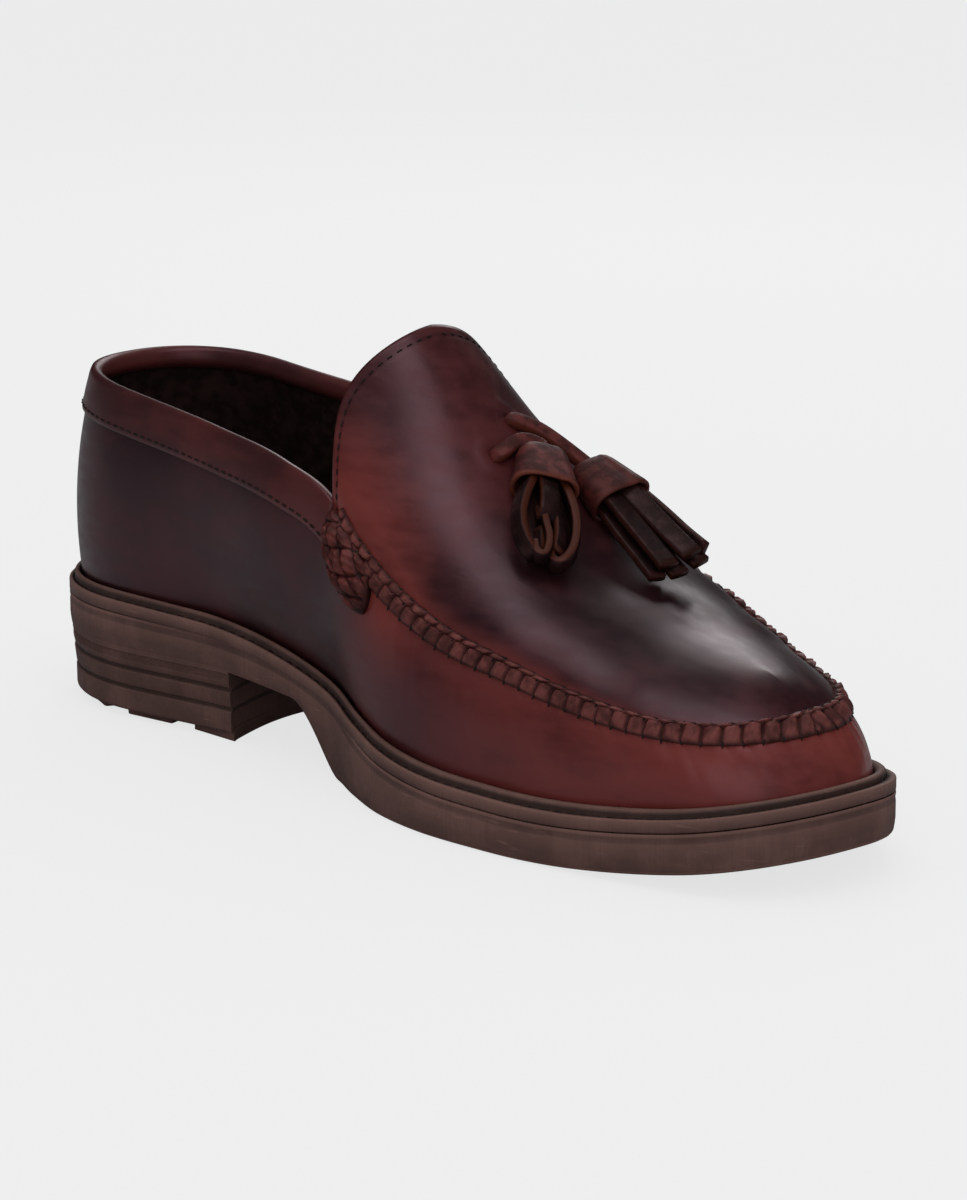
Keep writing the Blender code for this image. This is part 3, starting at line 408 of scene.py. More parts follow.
def put(tree, kind, inputs=(), **settings):
    """Add a node; an input's value is a number, a colour or the socket to link."""
    made = tree.nodes.new(kind)
    for name, value in settings.items():
        setattr(made, name, value)
    for key, value in dict(inputs).items():
        if isinstance(value, bpy.types.NodeSocket):
            tree.links.new(value, made.inputs[key])
        else:
            made.inputs[key].default_value = value
    return made


def mix(tree, factor, a, b):
    """Colour a to colour b by the factor."""
    colours = {6: (*a, 1.0) if isinstance(a, tuple) else a,
               7: (*b, 1.0) if isinstance(b, tuple) else b}
    return put(tree, 'ShaderNodeMix', {0: factor, **colours}, data_type='RGBA').outputs[2]


def noise(tree, scale, detail=3.0, stretch=(1.0, 1.0, 1.0), roughness=0.55):
    """Noise in the shoe's own space; scale is features per metre."""
    place = put(tree, 'ShaderNodeTexCoord').outputs['Object']
    if stretch != (1.0, 1.0, 1.0):
        place = put(tree, 'ShaderNodeMapping', {'Vector': place, 'Scale': stretch}).outputs[0]
    return put(tree, 'ShaderNodeTexNoise', {'Vector': place, 'Scale': scale, 'Detail': detail,
                                            'Roughness': roughness}).outputs['Fac']


def ramp(tree, value, low, high, start=0.0, end=1.0):
    """Smooth change from start to end while value goes from low to high."""
    return put(tree, 'ShaderNodeMapRange', {'Value': value, 'From Min': low, 'From Max': high,
                                            'To Min': start, 'To Max': end},
               interpolation_type='SMOOTHSTEP').outputs[0]


def math_node(tree, operation, a, b):
    return put(tree, 'ShaderNodeMath', {0: a, 1: b}, operation=operation).outputs[0]


def attribute(tree, name):
    return put(tree, 'ShaderNodeAttribute', attribute_name=name).outputs['Fac']


def bump(tree, height, distance, strength=1.0, below=None):
    inputs = {'Height': height, 'Distance': distance * MM, 'Strength': strength}
    if below is not None:
        inputs['Normal'] = below
    return put(tree, 'ShaderNodeBump', inputs).outputs[0]


def new_material(name, roughness, coat=0.0, coat_roughness=0.1, specular=0.5):
    made = bpy.data.materials.new(name)
    made.use_nodes = True
    shader = made.node_tree.nodes['Principled BSDF']
    shader.inputs['Roughness'].default_value = roughness
    shader.inputs['Coat Weight'].default_value = coat
    shader.inputs['Coat Roughness'].default_value = coat_roughness
    shader.inputs['Specular IOR Level'].default_value = specular
    return made, made.node_tree, shader


def connect(tree, shader, colour=None, roughness=None, normal=None):
    for key, socket in (('Base Color', colour), ('Roughness', roughness), ('Normal', normal)):
        if socket is not None:
            tree.links.new(socket, shader.inputs[key])


def polished_leather(name, deep, warm, red, gloss):
    """Waxed leather, dark with warm clouds, red where the attribute red says so, and painted shade
    where the attribute dark says so.
    """
    made, tree, shader = new_material(name, gloss, coat=0.05, coat_roughness=0.20, specular=0.55)
    shader.inputs['Specular Tint'].default_value = (1.0, 0.60, 0.71, 1.0)
    clouds = noise(tree, 26.0, 4.0)
    fine = noise(tree, 170.0, 3.0)
    streak = noise(tree, 120.0, 3.0, stretch=(0.5, 1.2, 2.2))
    shade = math_node(tree, 'ADD', math_node(tree, 'MULTIPLY', clouds, 0.7),
                      math_node(tree, 'MULTIPLY', streak, 0.3))
    base = mix(tree, ramp(tree, shade, 0.40, 0.62), deep, warm)
    worn = math_node(tree, 'MULTIPLY', attribute(tree, 'red'), ramp(tree, shade, 0.30, 0.56, 0.5))
    base = mix(tree, worn, base, red)
    # Painted shade: the attribute dark darkens the leather where shade falls.
    base = mix(tree, attribute(tree, 'dark'), base, scaled(deep, 0.35))
    rough = ramp(tree, streak, 0.35, 0.65, gloss - 0.03, gloss + 0.05)
    grain = bump(tree, fine, 0.10, 0.25)
    scratch = noise(tree, 900.0, 1.0, stretch=(0.06, 0.5, 0.5))
    surface = bump(tree, ramp(tree, scratch, 0.62, 0.72), 0.02, 0.30, below=grain)
    connect(tree, shader, base, rough, surface)
    return made


def worn_leather(name, base_colour, edge_colour, gloss, crease_scale=340.0):
    """Pulled, gathered leather with fine wrinkles; attribute edge gives its raw edges, and
    attribute dark darkens it, mostly as painted shade.
    """
    made, tree, shader = new_material(name, gloss, specular=0.32)
    shader.inputs['Specular Tint'].default_value = (1.0, 0.60, 0.60, 1.0)
    cloud = noise(tree, 240.0, 5.0)
    dark = scaled(base_colour, 0.42)
    base = mix(tree, ramp(tree, cloud, 0.36, 0.64), dark, base_colour)
    base = mix(tree, attribute(tree, 'edge'), base, edge_colour)
    # Darker where the attribute dark says so: painted shade in the seam's folds, between the
    # roll's lumps and on the lining, and a darker wrap on the far tassel.
    base = mix(tree, attribute(tree, 'dark'), base, scaled(base_colour, 0.12))
    wrinkles = bump(tree, noise(tree, crease_scale, 6.0, roughness=0.7), 0.22, 0.8)
    rough = ramp(tree, cloud, 0.3, 0.7, gloss + 0.1, gloss - 0.06)
    connect(tree, shader, base, rough, wrinkles)
    return made


def rubber(name, low, high, roughness):
    """Moulded rubber with faint dust, marks and upright combing, pale edges that are part wear and
    part painted highlight, and painted shade.
    """
    made, tree, shader = new_material(name, roughness, specular=0.30)
    speck = noise(tree, 900.0, 3.0)
    cloud = noise(tree, 60.0, 5.0)
    base = mix(tree, ramp(tree, cloud, 0.38, 0.66), low, high)
    combed = noise(tree, 1100.0, 2.0, stretch=(1.0, 1.0, 0.07))
    base = mix(tree, ramp(tree, combed, 0.40, 0.70, 0.0, 0.45), base, low)
    scuffs = noise(tree, 420.0, 2.0, stretch=(0.25, 0.25, 3.0))
    base = mix(tree, ramp(tree, scuffs, 0.64, 0.80, 0.0, 0.40), base,
               scaled(high, 2.1))
    # Pale edges where the attribute edge says so: part wear, part painted highlight lines.
    base = mix(tree, math_node(tree, 'MULTIPLY', attribute(tree, 'edge'), 0.7), base,
               scaled(high, 2.4))
    # Painted shade in grooves and below the bead, where the attribute dark says so.
    base = mix(tree, attribute(tree, 'dark'), base, scaled(low, 0.15))
    rough = ramp(tree, speck, 0.3, 0.7, roughness - 0.05, roughness + 0.08)
    grain = bump(tree, speck, 0.06, 0.5)
    connect(tree, shader, base, rough, bump(tree, combed, 0.05, 0.5, below=grain))
    return made


def thread_material(name, colour):
    made, tree, shader = new_material(name, 0.62, specular=0.3)
    twist = noise(tree, 1500.0, 2.0)
    base = mix(tree, ramp(tree, twist, 0.3, 0.7), scaled(colour, 0.5), colour)
    connect(tree, shader, base, None, bump(tree, twist, 0.08, 0.7))
    return made


LEATHER = polished_leather("polished burgundy", (0.019, 0.0056, 0.0070), (0.050, 0.0100, 0.0115),
                           (0.155, 0.027, 0.020), 0.34)
SEAM_LEATHER = worn_leather("gathered leather", (0.145, 0.040, 0.034), (0.105, 0.030, 0.022),
                            0.50)
ROLL_LEATHER = worn_leather("roll leather", (0.105, 0.022, 0.018), (0.16, 0.035, 0.024), 0.42)
BAND_LEATHER = polished_leather("band leather", (0.038, 0.010, 0.010), (0.075, 0.015, 0.013),
                                (0.15, 0.028, 0.018), 0.38)
TASSEL_LEATHER = worn_leather("tassel leather", (0.017, 0.0055, 0.0055),
                              (0.052, 0.012, 0.0055), 0.42, crease_scale=180.0)
WRAP_LEATHER = worn_leather("wrap leather", (0.092, 0.018, 0.015), (0.110, 0.026, 0.014), 0.50,
                            crease_scale=180.0)
SOLE_RUBBER = rubber("sole rubber", (0.084, 0.042, 0.034), (0.126, 0.063, 0.051), 0.68)
WELT_RUBBER = rubber("welt rubber", (0.070, 0.034, 0.027), (0.108, 0.054, 0.043), 0.60)
LINING = worn_leather("lining", (0.030, 0.016, 0.014), (0.30, 0.26, 0.25), 0.62)
THREAD = thread_material("dark thread", (0.018, 0.007, 0.007))
CUT_EDGE = worn_leather("cut edge", (0.13, 0.055, 0.045), (0.13, 0.055, 0.045), 0.6)


def paint(piece, **layers):
    """Store numbers at each point of a mesh for its material, under their names."""
    for name, values in layers.items():
        layer = piece.data.attributes.new(name, 'FLOAT', 'POINT')
        layer.data.foreach_set("value", np.asarray(values, np.float32).ravel())


def sharpen(piece, degrees):
    piece.data.set_sharp_from_angle(angle=math.radians(degrees))


def smooth_route(stops, steps):
    """Points on a smooth curve through the stops."""
    stops = np.asarray(stops, float)
    ends = np.concatenate([[2 * stops[0] - stops[1]], stops, [2 * stops[-1] - stops[-2]]])
    t = (np.arange(steps) / steps)[:, None]
    route = [0.5 * (2 * b + (c - a) * t + (2 * a - 5 * b + 4 * c - d) * t * t
                    + (3 * b - a - 3 * c + d) * t ** 3)
             for a, b, c, d in zip(ends, ends[1:], ends[2:], ends[3:])]
    return np.concatenate(route + [stops[-1:]])


def ribbon(stops, width_way, width, thick, steps=5):
    """Strip of leather along the stops: rings of points, and 1 where its cut edges are."""
    path = smooth_route(stops, steps)
    along = unit(np.gradient(path, axis=0))
    across = unit(width_way - along * np.sum(along * width_way, -1, keepdims=True))
    out = np.cross(across, along)
    turns = circle(16)
    sx = squared(np.cos(turns), 0.35) * width / 2
    sy = squared(np.sin(turns), 0.45) * thick / 2
    rings = path[:, None] + across[:, None] * sx[:, None] + out[:, None] * sy[:, None]
    edge = np.repeat((np.abs(sx) > 0.46 * width)[None, :].astype(float), len(path), 0)
    edge[0] = edge[-1] = 1.0
    return rings, edge


def ribbons(rows):
    """Points, faces and edge values of several ribbons."""
    points, faces = joined([tube(rings) for rings, _ in rows])
    return points, faces, np.concatenate([edge.ravel() for _, edge in rows])


def design_points(piece):
    """A piece's points back in the design frame, in millimetres."""
    flat = np.zeros(len(piece.data.vertices) * 3, np.float32)
    piece.data.vertices.foreach_get("co", flat)
    return flat.reshape(-1, 3).astype(float) / MM + ORIGIN


# Upper

SEAM_HALF = 4.1
SEAM_RISE = 1.7
SEAM_START = 0.121
GATHER_PITCH = 4.9
SAMPLES = np.linspace(0.0, 1.0, 400)
FRONT_ARC = {side: arc_length(rim(side, SAMPLES)) for side in SIDES}
SLOTS = ((165.0, -3.5), (157.4, 8.5))
TONGUE_ROW = 0.013
TONGUE_PITCH = 3.3
CREASES = ((207.0, 13.0, -0.30), (221.0, 12.0, 0.16), (234.0, 11.0, -0.14))


def front_mm(side, s):
    """Length of the rim from the notch to the column s."""
    return np.interp(s, SAMPLES, FRONT_ARC[side])


def gather_phase(side, s):
    """Count of gathers from the toe to the column s, whole at each fold."""
    return (FRONT_ARC[side][-1] - front_mm(side, s)) / GATHER_PITCH


def wall_relief(side, s, w, point):
    """Small puckers under the seam, and a soft hollow over the waist."""
    height = (point[..., 2] - platform(point[..., 0])) / np.maximum(w, 0.2)
    below = (1.0 - w) * np.maximum(height, 10.0)
    front = smoothstep(0.08, 0.25, s)
    fade = np.exp(-np.maximum(below - SEAM_HALF, 0.0) / 5.0)
    sharp = np.abs(np.sin(math.pi * gather_phase(side, np.maximum(s, 0.0)))) ** 0.6 - 0.6
    waves = 0.12 * np.sin(0.9 * point[..., 0] + 0.25 * point[..., 2]) * np.exp(-below / 9.0)
    return (0.34 * sharp * fade + waves) * front


def apron_relief(side, s, q, point):
    """Soft flexing creases across the vamp, the pull of the thong and the sunk stitch row."""
    x, y = point[..., 0], point[..., 1]
    height = np.zeros(x.shape)
    for centre, width, depth in CREASES:
        height += depth * hump(centre + 0.006 * (y + 4.0) ** 2, width, x)
    for slot_x, slot_y in SLOTS:
        away = np.hypot(x - slot_x, (y - slot_y) * 0.8)
        pull = np.exp(-((x - slot_x + 3.0) / 5.0) ** 2 - ((y - slot_y) / 2.2) ** 2)
        height += 0.30 * hump(3.2, 2.4, away) - 0.9 * hump(0.0, 2.2, away) + 0.25 * pull
    puckers = 0.12 * np.sin(2.0 * math.pi * gather_phase(side, s)) * np.exp(-q / 0.08)
    groove = 0.16 * hump(TONGUE_ROW, 0.005, s)
    return height * smoothstep(0.0, 0.25, q) + puckers * smoothstep(0.1, 0.2, s) - groove


def patch(s, v, s0, v0, ds, dv):
    return np.clip(1.0 - np.hypot((s - s0) / ds, (v - v0) / dv), 0.0, 1.0)


def wall_red(side, s, w):
    toe = 0.30 * smoothstep(0.0, 0.1, s) + 0.66 * smoothstep(0.15, 0.85, s)
    seam = 0.30 * smoothstep(0.60, 1.0, w) * smoothstep(0.0, 0.1, s)
    flare = 0.7 * patch(s, w, 0.16, 0.90, 0.10, 0.45)
    gap = 0.30 * patch(s, w, 0.22, 0.35, 0.16, 0.6) + 0.25 * patch(s, w, 0.74, 0.1, 0.2, 0.5)
    return np.clip(toe + seam + flare - gap, 0.0, 1.0)


def apron_red(side, s, q):
    strip = 0.75 * (1.0 - smoothstep(0.04, 0.28, q)) * smoothstep(0.0, 0.04, s)
    flare = 1.0 * patch(s, q, 0.11, 0.10, 0.15, 0.50) ** 0.8
    top = 0.20 * (1.0 - smoothstep(0.20, 0.34, s))
    return np.clip(strip + flare + top, 0.0, 1.0)


# Painted shade on the wall: over the quarter and along the wall's foot at the welt.
def wall_painted_shade(side, s, w):
    quarter = 0.25 * (1.0 - smoothstep(-0.10, 0.10, s))
    foot = 0.35 * (1.0 - smoothstep(0.0, 0.14, w))
    return np.clip(quarter + foot, 0.0, 1.0)


# Painted shade on the apron: dark pits at the thong slots, the tassels' shadow across the vamp and
# the sunk stitch row of the tongue.
def apron_painted_shade(side, s, q):
    point = apron(side, s, q)
    pits = np.zeros(s.shape)
    for slot_x, slot_y in SLOTS:
        pits += hump(0.0, 2.2, np.hypot(point[..., 0] - slot_x, (point[..., 1] - slot_y) * 0.8))
    vamp = 0.95 * patch(s, q, 0.49, 0.70, 0.20, 0.48)
    return np.clip(pits + vamp + 0.4 * hump(TONGUE_ROW, 0.004, s), 0.0, 1.0)


def upper_shell(quarter, front, wall_rows, apron_rows, inset, relief):
    """Grids of wall and apron, inset from the outer face, with red and painted shade beside x, y,
    z.
    """
    columns = np.concatenate([np.linspace(-1.0, 0.0, quarter + 1)[:-1],
                              np.linspace(0.0, 1.0, front + 1)])
    parts = []
    for surface, bend, red, dark, some, rows in (
            (wall, wall_relief, wall_red, wall_painted_shade, columns, np.linspace(0.0, 1.0, wall_rows)),
            (apron, apron_relief, apron_red, apron_painted_shade, columns[columns >= 0.0],
             np.linspace(0.0, 1.0, apron_rows) ** 0.9)):
        def make(side, few):
            s, v = crossed(few, rows)
            point = surface(side, s, v)
            lift = bend(side, s, v, point) - inset if relief else np.full(s.shape, -inset)
            point = point + normals(surface, side, s, v) * lift[..., None]
            return extended(extended(point, red(side, s, v)), dark(side, s, v))
        grid = both_sides(some, make)
        parts.append((grid, grid_faces(*grid.shape[:2], close_rows=surface is wall)))
    return parts


def shell_mesh(name, parts, slot, stands_for, finish, thickness, edge):
    """Shell with a wall of some thickness inward, painted red and with painted shade."""
    values = np.concatenate([grid.reshape(-1, 5)[:, 3:] for grid, _ in parts])
    points, faces = joined([(grid[..., :3], f) for grid, f in parts])
    piece = add_mesh(name, points, faces, slot, stands_for, finish, weld=0.02)
    turn_out(piece)
    piece.data.materials.append(edge)
    match = nearest_values(points, values, design_points(piece))
    paint(piece, red=match[:, 0], dark=match[:, 1])
    body = piece.modifiers.new("wall", 'SOLIDIFY')
    body.thickness = thickness * MM
    body.offset = -1.0
    body.material_offset_rim = 1


def nearest_values(points, values, wanted):
    """Values of the points that the wanted points came from."""
    keys = {tuple(k): i for i, k in enumerate(np.round(points, 2).tolist())}
    found = [keys.get(tuple(k), -1) for k in np.round(wanted, 2).tolist()]
    for i, k in enumerate(found):
        if k < 0:
            found[i] = int(np.argmin(np.sum((points - wanted[i]) ** 2, -1)))
    return values[found]


def turn_out(piece):
    """Turn a shell's faces so that its highest face looks up."""
    work = bmesh.new()
    work.from_mesh(piece.data)
    top = max(work.faces, key=lambda f: f.calc_center_median().z)
    if top.normal.z < 0:
        bmesh.ops.reverse_faces(work, faces=work.faces)
    work.to_mesh(piece.data)
    work.free()


def wall_length(side, some):
    return np.linalg.norm(rim(side, some) - wall(side, some, np.zeros(some.shape)), axis=-1)


def apron_length(side, some):
    steps = [apron(side, some, np.full(some.shape, k / 8)) for k in range(9)]
    return sum(np.linalg.norm(b - a, axis=-1) for a, b in zip(steps, steps[1:]))


def tongue_stitches():
    """Row of short stitches inside the free edge of the tongue."""
    rows = []
    for side in SIDES:
        q = np.linspace(0.04, 1.0, 300)
        s = np.full(q.shape, TONGUE_ROW)
        line = apron(side, s, q) - normals(apron, side, s, q) * 0.05
        way = arc_length(line)
        at = np.arange(TONGUE_PITCH * 0.5, way[-1], TONGUE_PITCH)
        picks = points_at(at, way, line)
        out = normals(apron, side, np.full(at.shape, TONGUE_ROW), np.interp(at, way, q))
        rows.append((picks, np.gradient(picks, axis=0), out))
    centres, along, out = map(np.concatenate, zip(*rows))
    stitches("tongue_stitches", centres, along, out, "upper_leather", length=1.7, radius=0.21,
             lift=0.1)


# Seam and rolls

def seam_section(side, some, t):
    """Points across the seam from wall to apron, and the ways out of it there."""
    s, share = crossed(some, t)
    w_foot = 1.0 - SEAM_HALF / wall_length(side, some)
    q_edge = SEAM_HALF * 1.2 / apron_length(side, some)
    w = w_foot[:, None] + (1.0 - w_foot)[:, None] * np.clip(2 * share, 0.0, 1.0)
    q = q_edge[:, None] * np.clip(2 * share - 1.0, 0.0, 1.0)
    base = np.where((share < 0.5)[..., None], wall(side, s, w), apron(side, s, q))
    low = normals(wall, side, some, np.full(some.shape, 0.97))
    high = normals(apron, side, some, q_edge)
    blend = smoothstep(0.1, 0.9, share)[..., None]
    up = unit(low[:, None] * (1.0 - blend) + high[:, None] * blend)
    return base, up


def uneven(count, seed):
    """Steady uneven numbers from -1 to 1, one for each of the whole counts."""
    return np.sin(count * 12.9898 + seed * 78.233) * np.cos(count * 4.137 + seed)


LEDGE = 0.64


def build_seam():
    """Raised seam of gathered leather."""
    columns = np.linspace(0.035, 1.0, 680)
    t = np.linspace(0.0, 1.0, 31)

    def make(side, some):
        base, up = seam_section(side, some, t)
        share = crossed(some, t)[1]
        inner = smoothstep(LEDGE - 0.04, LEDGE + 0.04, share)
        phase = gather_phase(side, some)[:, None] + 0.95 * (share - 0.35) + 0.22 * inner
        which = np.floor(phase)
        fold = np.abs(np.sin(math.pi * phase))
        arch = np.sin(math.pi * np.clip(share, 0.015, 0.985)) ** 0.42
        ledge = 1.0 - 0.42 * np.exp(-((share - LEDGE) / 0.05) ** 2)
        full = 1.0 + 0.24 * uneven(which, 1.0 + side)
        height = (SEAM_RISE + 0.35) * full * arch * ledge * (0.20 + 0.80 * fold ** 0.8)
        height += 0.10 * np.sin(5.0 * math.pi * phase + 9.0 * share + 4.0 * full) * arch
        point = base + up * (GAP * 0.5 + height)[..., None]
        # Painted shade between the folds, along the ledge and at both feet of the seam.
        dark = 0.80 * (1.0 - smoothstep(0.0, 0.55, fold))
        dark = np.maximum(dark, 0.55 * np.exp(-((share - LEDGE) / 0.04) ** 2))
        dark = np.maximum(dark, 0.85 * (1.0 - smoothstep(0.0, 0.12, np.minimum(share, 1 - share))))
        return extended(point, dark)

    grid = both_sides(columns, make)
    floor = both_sides(columns, lambda side, some: seam_section(side, some, t[::-1])[0])
    rings = np.concatenate([grid[..., :3], floor], 1)
    piece = add_mesh("seam_gathers", *tube(rings), "trim_leather", ("moc_seam",), SEAM_LEATHER)
    paint(piece, dark=np.concatenate([grid[..., 3], np.zeros(floor.shape[:2])], 1))


def seam_threads():
    """Threads over each fold: a bar across its foot, a bar on its ledge and a line inside."""
    rows = []
    for side in SIDES:
        columns = np.linspace(0.04, 1.0, 4000)
        phase = gather_phase(side, columns)
        folds = np.arange(0.0 if side < 0 else 1.0, int(phase[0]))
        for end, shift, size, turned in ((0.04, -0.19, 1.9, 0.5), (0.10, 0.1, 2.0, 1.4),
                                         (LEDGE, 0.05, 2.2, 0.9), (0.97, 0.5, 2.0, 9.0)):
            picks = np.interp(-(folds - shift), -phase, columns)
            span = np.array([max(end - 0.08, 0.0), end, min(end + 0.08, 1.0)])
            base, up = seam_section(side, picks, span)
            run = unit(seam_section(side, picks + 0.002, span[1:2])[0][:, 0] - base[:, 1])
            across = unit(base[:, 2] - base[:, 0])
            along = across + run * (turned + 0.4 * uneven(folds, 3.0)[:, None])
            rise = 1.0 if end == LEDGE else 0.45
            rows.append((base[:, 1] + up[:, 1] * rise, along, up[:, 1],
                         size * (1.0 + 0.3 * uneven(folds, 5.0 + end))))
    centres, along, out, size = map(np.concatenate, zip(*rows))
    stitches("seam_threads", centres, along, out, "trim_leather", length=size, radius=0.25)


ROLL_HEIGHT = 13.5
ROLL_THICKNESS = 4.6
WEAVE_COUNT = 1.25


def roll_surface(side, u, v):
    """Base points and ways out of a roll; u runs along the seam and v up the wall."""
    a = 0.5 + 0.5 * u * np.sqrt(1.0 - 0.36 * v * v)
    b = 0.5 + 0.5 * v * np.sqrt(1.0 - 0.42 * u * u)
    s = SEAM_START * 1.06 * a
    low = 1.0 - (ROLL_HEIGHT + 1.0) / wall_length(side, s)
    w = low + (1.0 - low) * np.minimum(b / 0.84, 1.0)
    q = np.clip((b - 0.84) / 0.16, 0.0, 1.0) * 2.2 / apron_length(side, s)
    base = np.where((b > 0.84)[..., None], apron(side, s, q), wall(side, s, w))
    out_wall = normals(wall, side, s, np.minimum(w, 0.97))
    out_top = normals(apron, side, s, np.full(s.shape, 0.06))
    blend = smoothstep(0.55, 1.0, b)[..., None]
    return base, unit(out_wall * (1.0 - blend) + out_top * blend)


def weave_shift(v, sign):
    """Part of the count of threads that comes from the height on the roll."""
    return sign * 1.55 * v + 0.16 * np.sin(3.0 * v + sign) + 0.35 * sign


def weave(u, v, sign):
    """Count of the threads that cross the roll one way; whole on each thread."""
    return WEAVE_COUNT * u + weave_shift(v, sign)


def roll_height(u, v):
    """Height of the plaited lumps, which the threads pull in."""
    dome = (np.cos(0.5 * math.pi * 0.97 * u) * np.cos(0.5 * math.pi * 0.97 * v)) ** 0.42
    lumps = np.sqrt(np.abs(np.sin(math.pi * weave(u, v, 1.0)))
                    * np.abs(np.sin(math.pi * weave(u, v, -1.0))))
    wrinkles = 0.05 * np.sin(17.0 * u + 9.0 * v) + 0.04 * np.sin(31.0 * v - 12.0 * u)
    return (ROLL_THICKNESS + 0.8) * dome * (0.55 + 0.45 * lumps ** 0.7 + wrinkles), lumps


def build_roll(side, name, stands_for):
    u, v = crossed(np.linspace(-1.0, 1.0, 60), np.linspace(-1.0, 1.0, 76))
    base, out = roll_surface(side, u, v)
    height, lumps = roll_height(u, v)
    top = base + out * (GAP * 0.5 + height)[..., None]
    rings = np.concatenate([top, base[:, ::-1]], 1)
    piece = add_mesh(name, *tube(rings), "trim_leather", stands_for, ROLL_LEATHER)
    # Painted shade in the grooves between the plaited lumps.
    dark = 0.92 * (1.0 - smoothstep(0.10, 0.55, lumps))
    rim_shade = 0.7 * smoothstep(0.82, 1.0, np.maximum(np.abs(u), np.abs(v)))
    paint(piece, dark=np.concatenate([np.maximum(dark, rim_shade), np.zeros(u.shape)], 1))


def roll_threads():
    """Threads wrapped criss-cross around both rolls."""
    pieces = []
    for side in SIDES:
        for sign in (1.0, -1.0):
            for whole in range(-3, 4):
                v = np.linspace(-0.97, 0.97, 120)
                u = (whole - weave_shift(v, sign)) / WEAVE_COUNT
                keep = np.abs(u) < 0.97
                if np.count_nonzero(keep) < 12:
                    continue
                u, v = u[keep], v[keep]
                base, out = roll_surface(side, u, v)
                height, _ = roll_height(u, v)
                path = base + out * (GAP * 0.5 + height + 0.10)[:, None]
                along = unit(np.gradient(path, axis=0))
                ring = thread_ring(np.cross(along, out), out)
                pieces.append(tube(path[:, None] + ring * 0.27))
    add_mesh("roll_threads", *joined(pieces), "trim_leather", finish=THREAD)


COLLAR_BAND = 11.0
COLLAR_PITCH = 3.2


def build_collar_band():
    """Folded band over the collar's edge."""
    columns = np.linspace(-1.0, 0.004, 190)
    profile = [(0.0, 0.10), (0.0, 0.75), (0.03, 1.05), (0.10, 1.15), (0.5, 1.2), (0.90, 1.2),
               (0.97, 1.15)]
    lip = [(0.75, 0.75), (0.0, 1.15), (-1.0, 1.20), (-2.0, 0.75), (-2.35, 0.0), (-2.5, -1.5),
           (-2.5, -4.0), (-1.9, -4.0), (-1.9, 0.0)]

    def make(side, some):
        ones = np.ones(some.shape)
        foot = 1.0 - COLLAR_BAND / wall_length(side, some)
        out = normals(wall, side, some, 0.95 * ones)
        rows = [wall(side, some, foot + (1.0 - foot) * share) + out * lift
                for share, lift in profile]
        top = rim(side, some)
        for across, up in lip:
            rows.append(top + out * across + np.array([0.0, 0.0, 1.0]) * up)
        rows.append(wall(side, some, 0.5 * (foot + 1.0)) - out * 0.1)
        return np.stack(rows, 1)

    rings = both_sides(columns, make)
    rings = np.concatenate([rings[:len(columns)][::-1], rings[len(columns):][::-1]])
    fold = len(profile) + 1
    edge = np.zeros(rings.shape[:2])
    edge[:, fold:fold + 4] = 1.0
    piece = add_mesh("collar_binding", *tube(rings), "trim_leather", ("collar_band",),
                     BAND_LEATHER)
    paint(piece, edge=edge)


def collar_stitches():
    rows = []
    for side in SIDES:
        columns = np.linspace(-1.0, 0.0, 600)
        foot = 1.0 - (COLLAR_BAND - 1.6) / wall_length(side, columns)
        line = wall(side, columns, foot)
        way = arc_length(line)
        at = np.arange(1.5, way[-1], COLLAR_PITCH)
        some = np.interp(at, way, columns)
        picks = points_at(at, way, line)
        out = normals(wall, side, some, np.full(some.shape, 0.9))
        rows.append((picks + out * 1.15, np.gradient(picks, axis=0), out))
    centres, along, out = map(np.concatenate, zip(*rows))
    stitches("collar_stitches", centres, along, out, "trim_leather", length=2.1, radius=0.28,
             lift=0.2)


# Sole

ARCH_HEIGHT = 20.0
TREAD_DEPTH = 2.2
TREAD_RIM = 12.0
CHANNEL_INSET = 8.0
CHANNEL_DEPTH = 0.9
RIB_HEIGHT = 0.34
FIELD_START = 0.455 * SOLE_LENGTH
FIELD_END = SOLE_LENGTH - 1.3 * TREAD_RIM
HEEL_LENGTH = 86.0
BREAST_SKEW = 6.0
BREAST_HOLLOW = 7.5
BREAST_POINTS = 31
HEEL_FACE = 2.2
PANEL_INNER = 17.0
PANEL_OUTER = 15.0
BUTTON_X = 37.9
BUTTON_RADIUS = 9.5
FRAME_CENTRE = np.array([101.0, 7.0])
FRAME_HALF = np.array([13.0, 7.0])
WELT_THICKNESS = 3.4
WELT_BEAD = 2.4
WELT_PITCH = 4.1
SOLE_PITCH = 5.2
TREAD_PITCH = 1.7
PANEL_PITCH = 1.4


def underside(x):
    along = x / SOLE_LENGTH
    waist = 1.0 - 0.12 * smoothstep(0.26, 0.40, along)
    return ARCH_HEIGHT * waist * (1.0 - smoothstep(0.375, 0.458, along)) + spring(x)


def plan_ring(xs, inset, height):
    """Ring around the sole's outline, moved in and set at the height."""
    rows = []
    for side in SIDES:
        x = xs if side < 0 else xs[-2:0:-1]
        rail = SOLE_RAILS[side]
        share = np.interp(x, rail.points[:, 0], rail.arc)
        plan = np.stack([x, side * half_width(side, x)], -1)
        plan -= rail.outward(share) * inset
        rows.append(extended(plan, height(plan[:, 0])))
    return np.concatenate(rows)


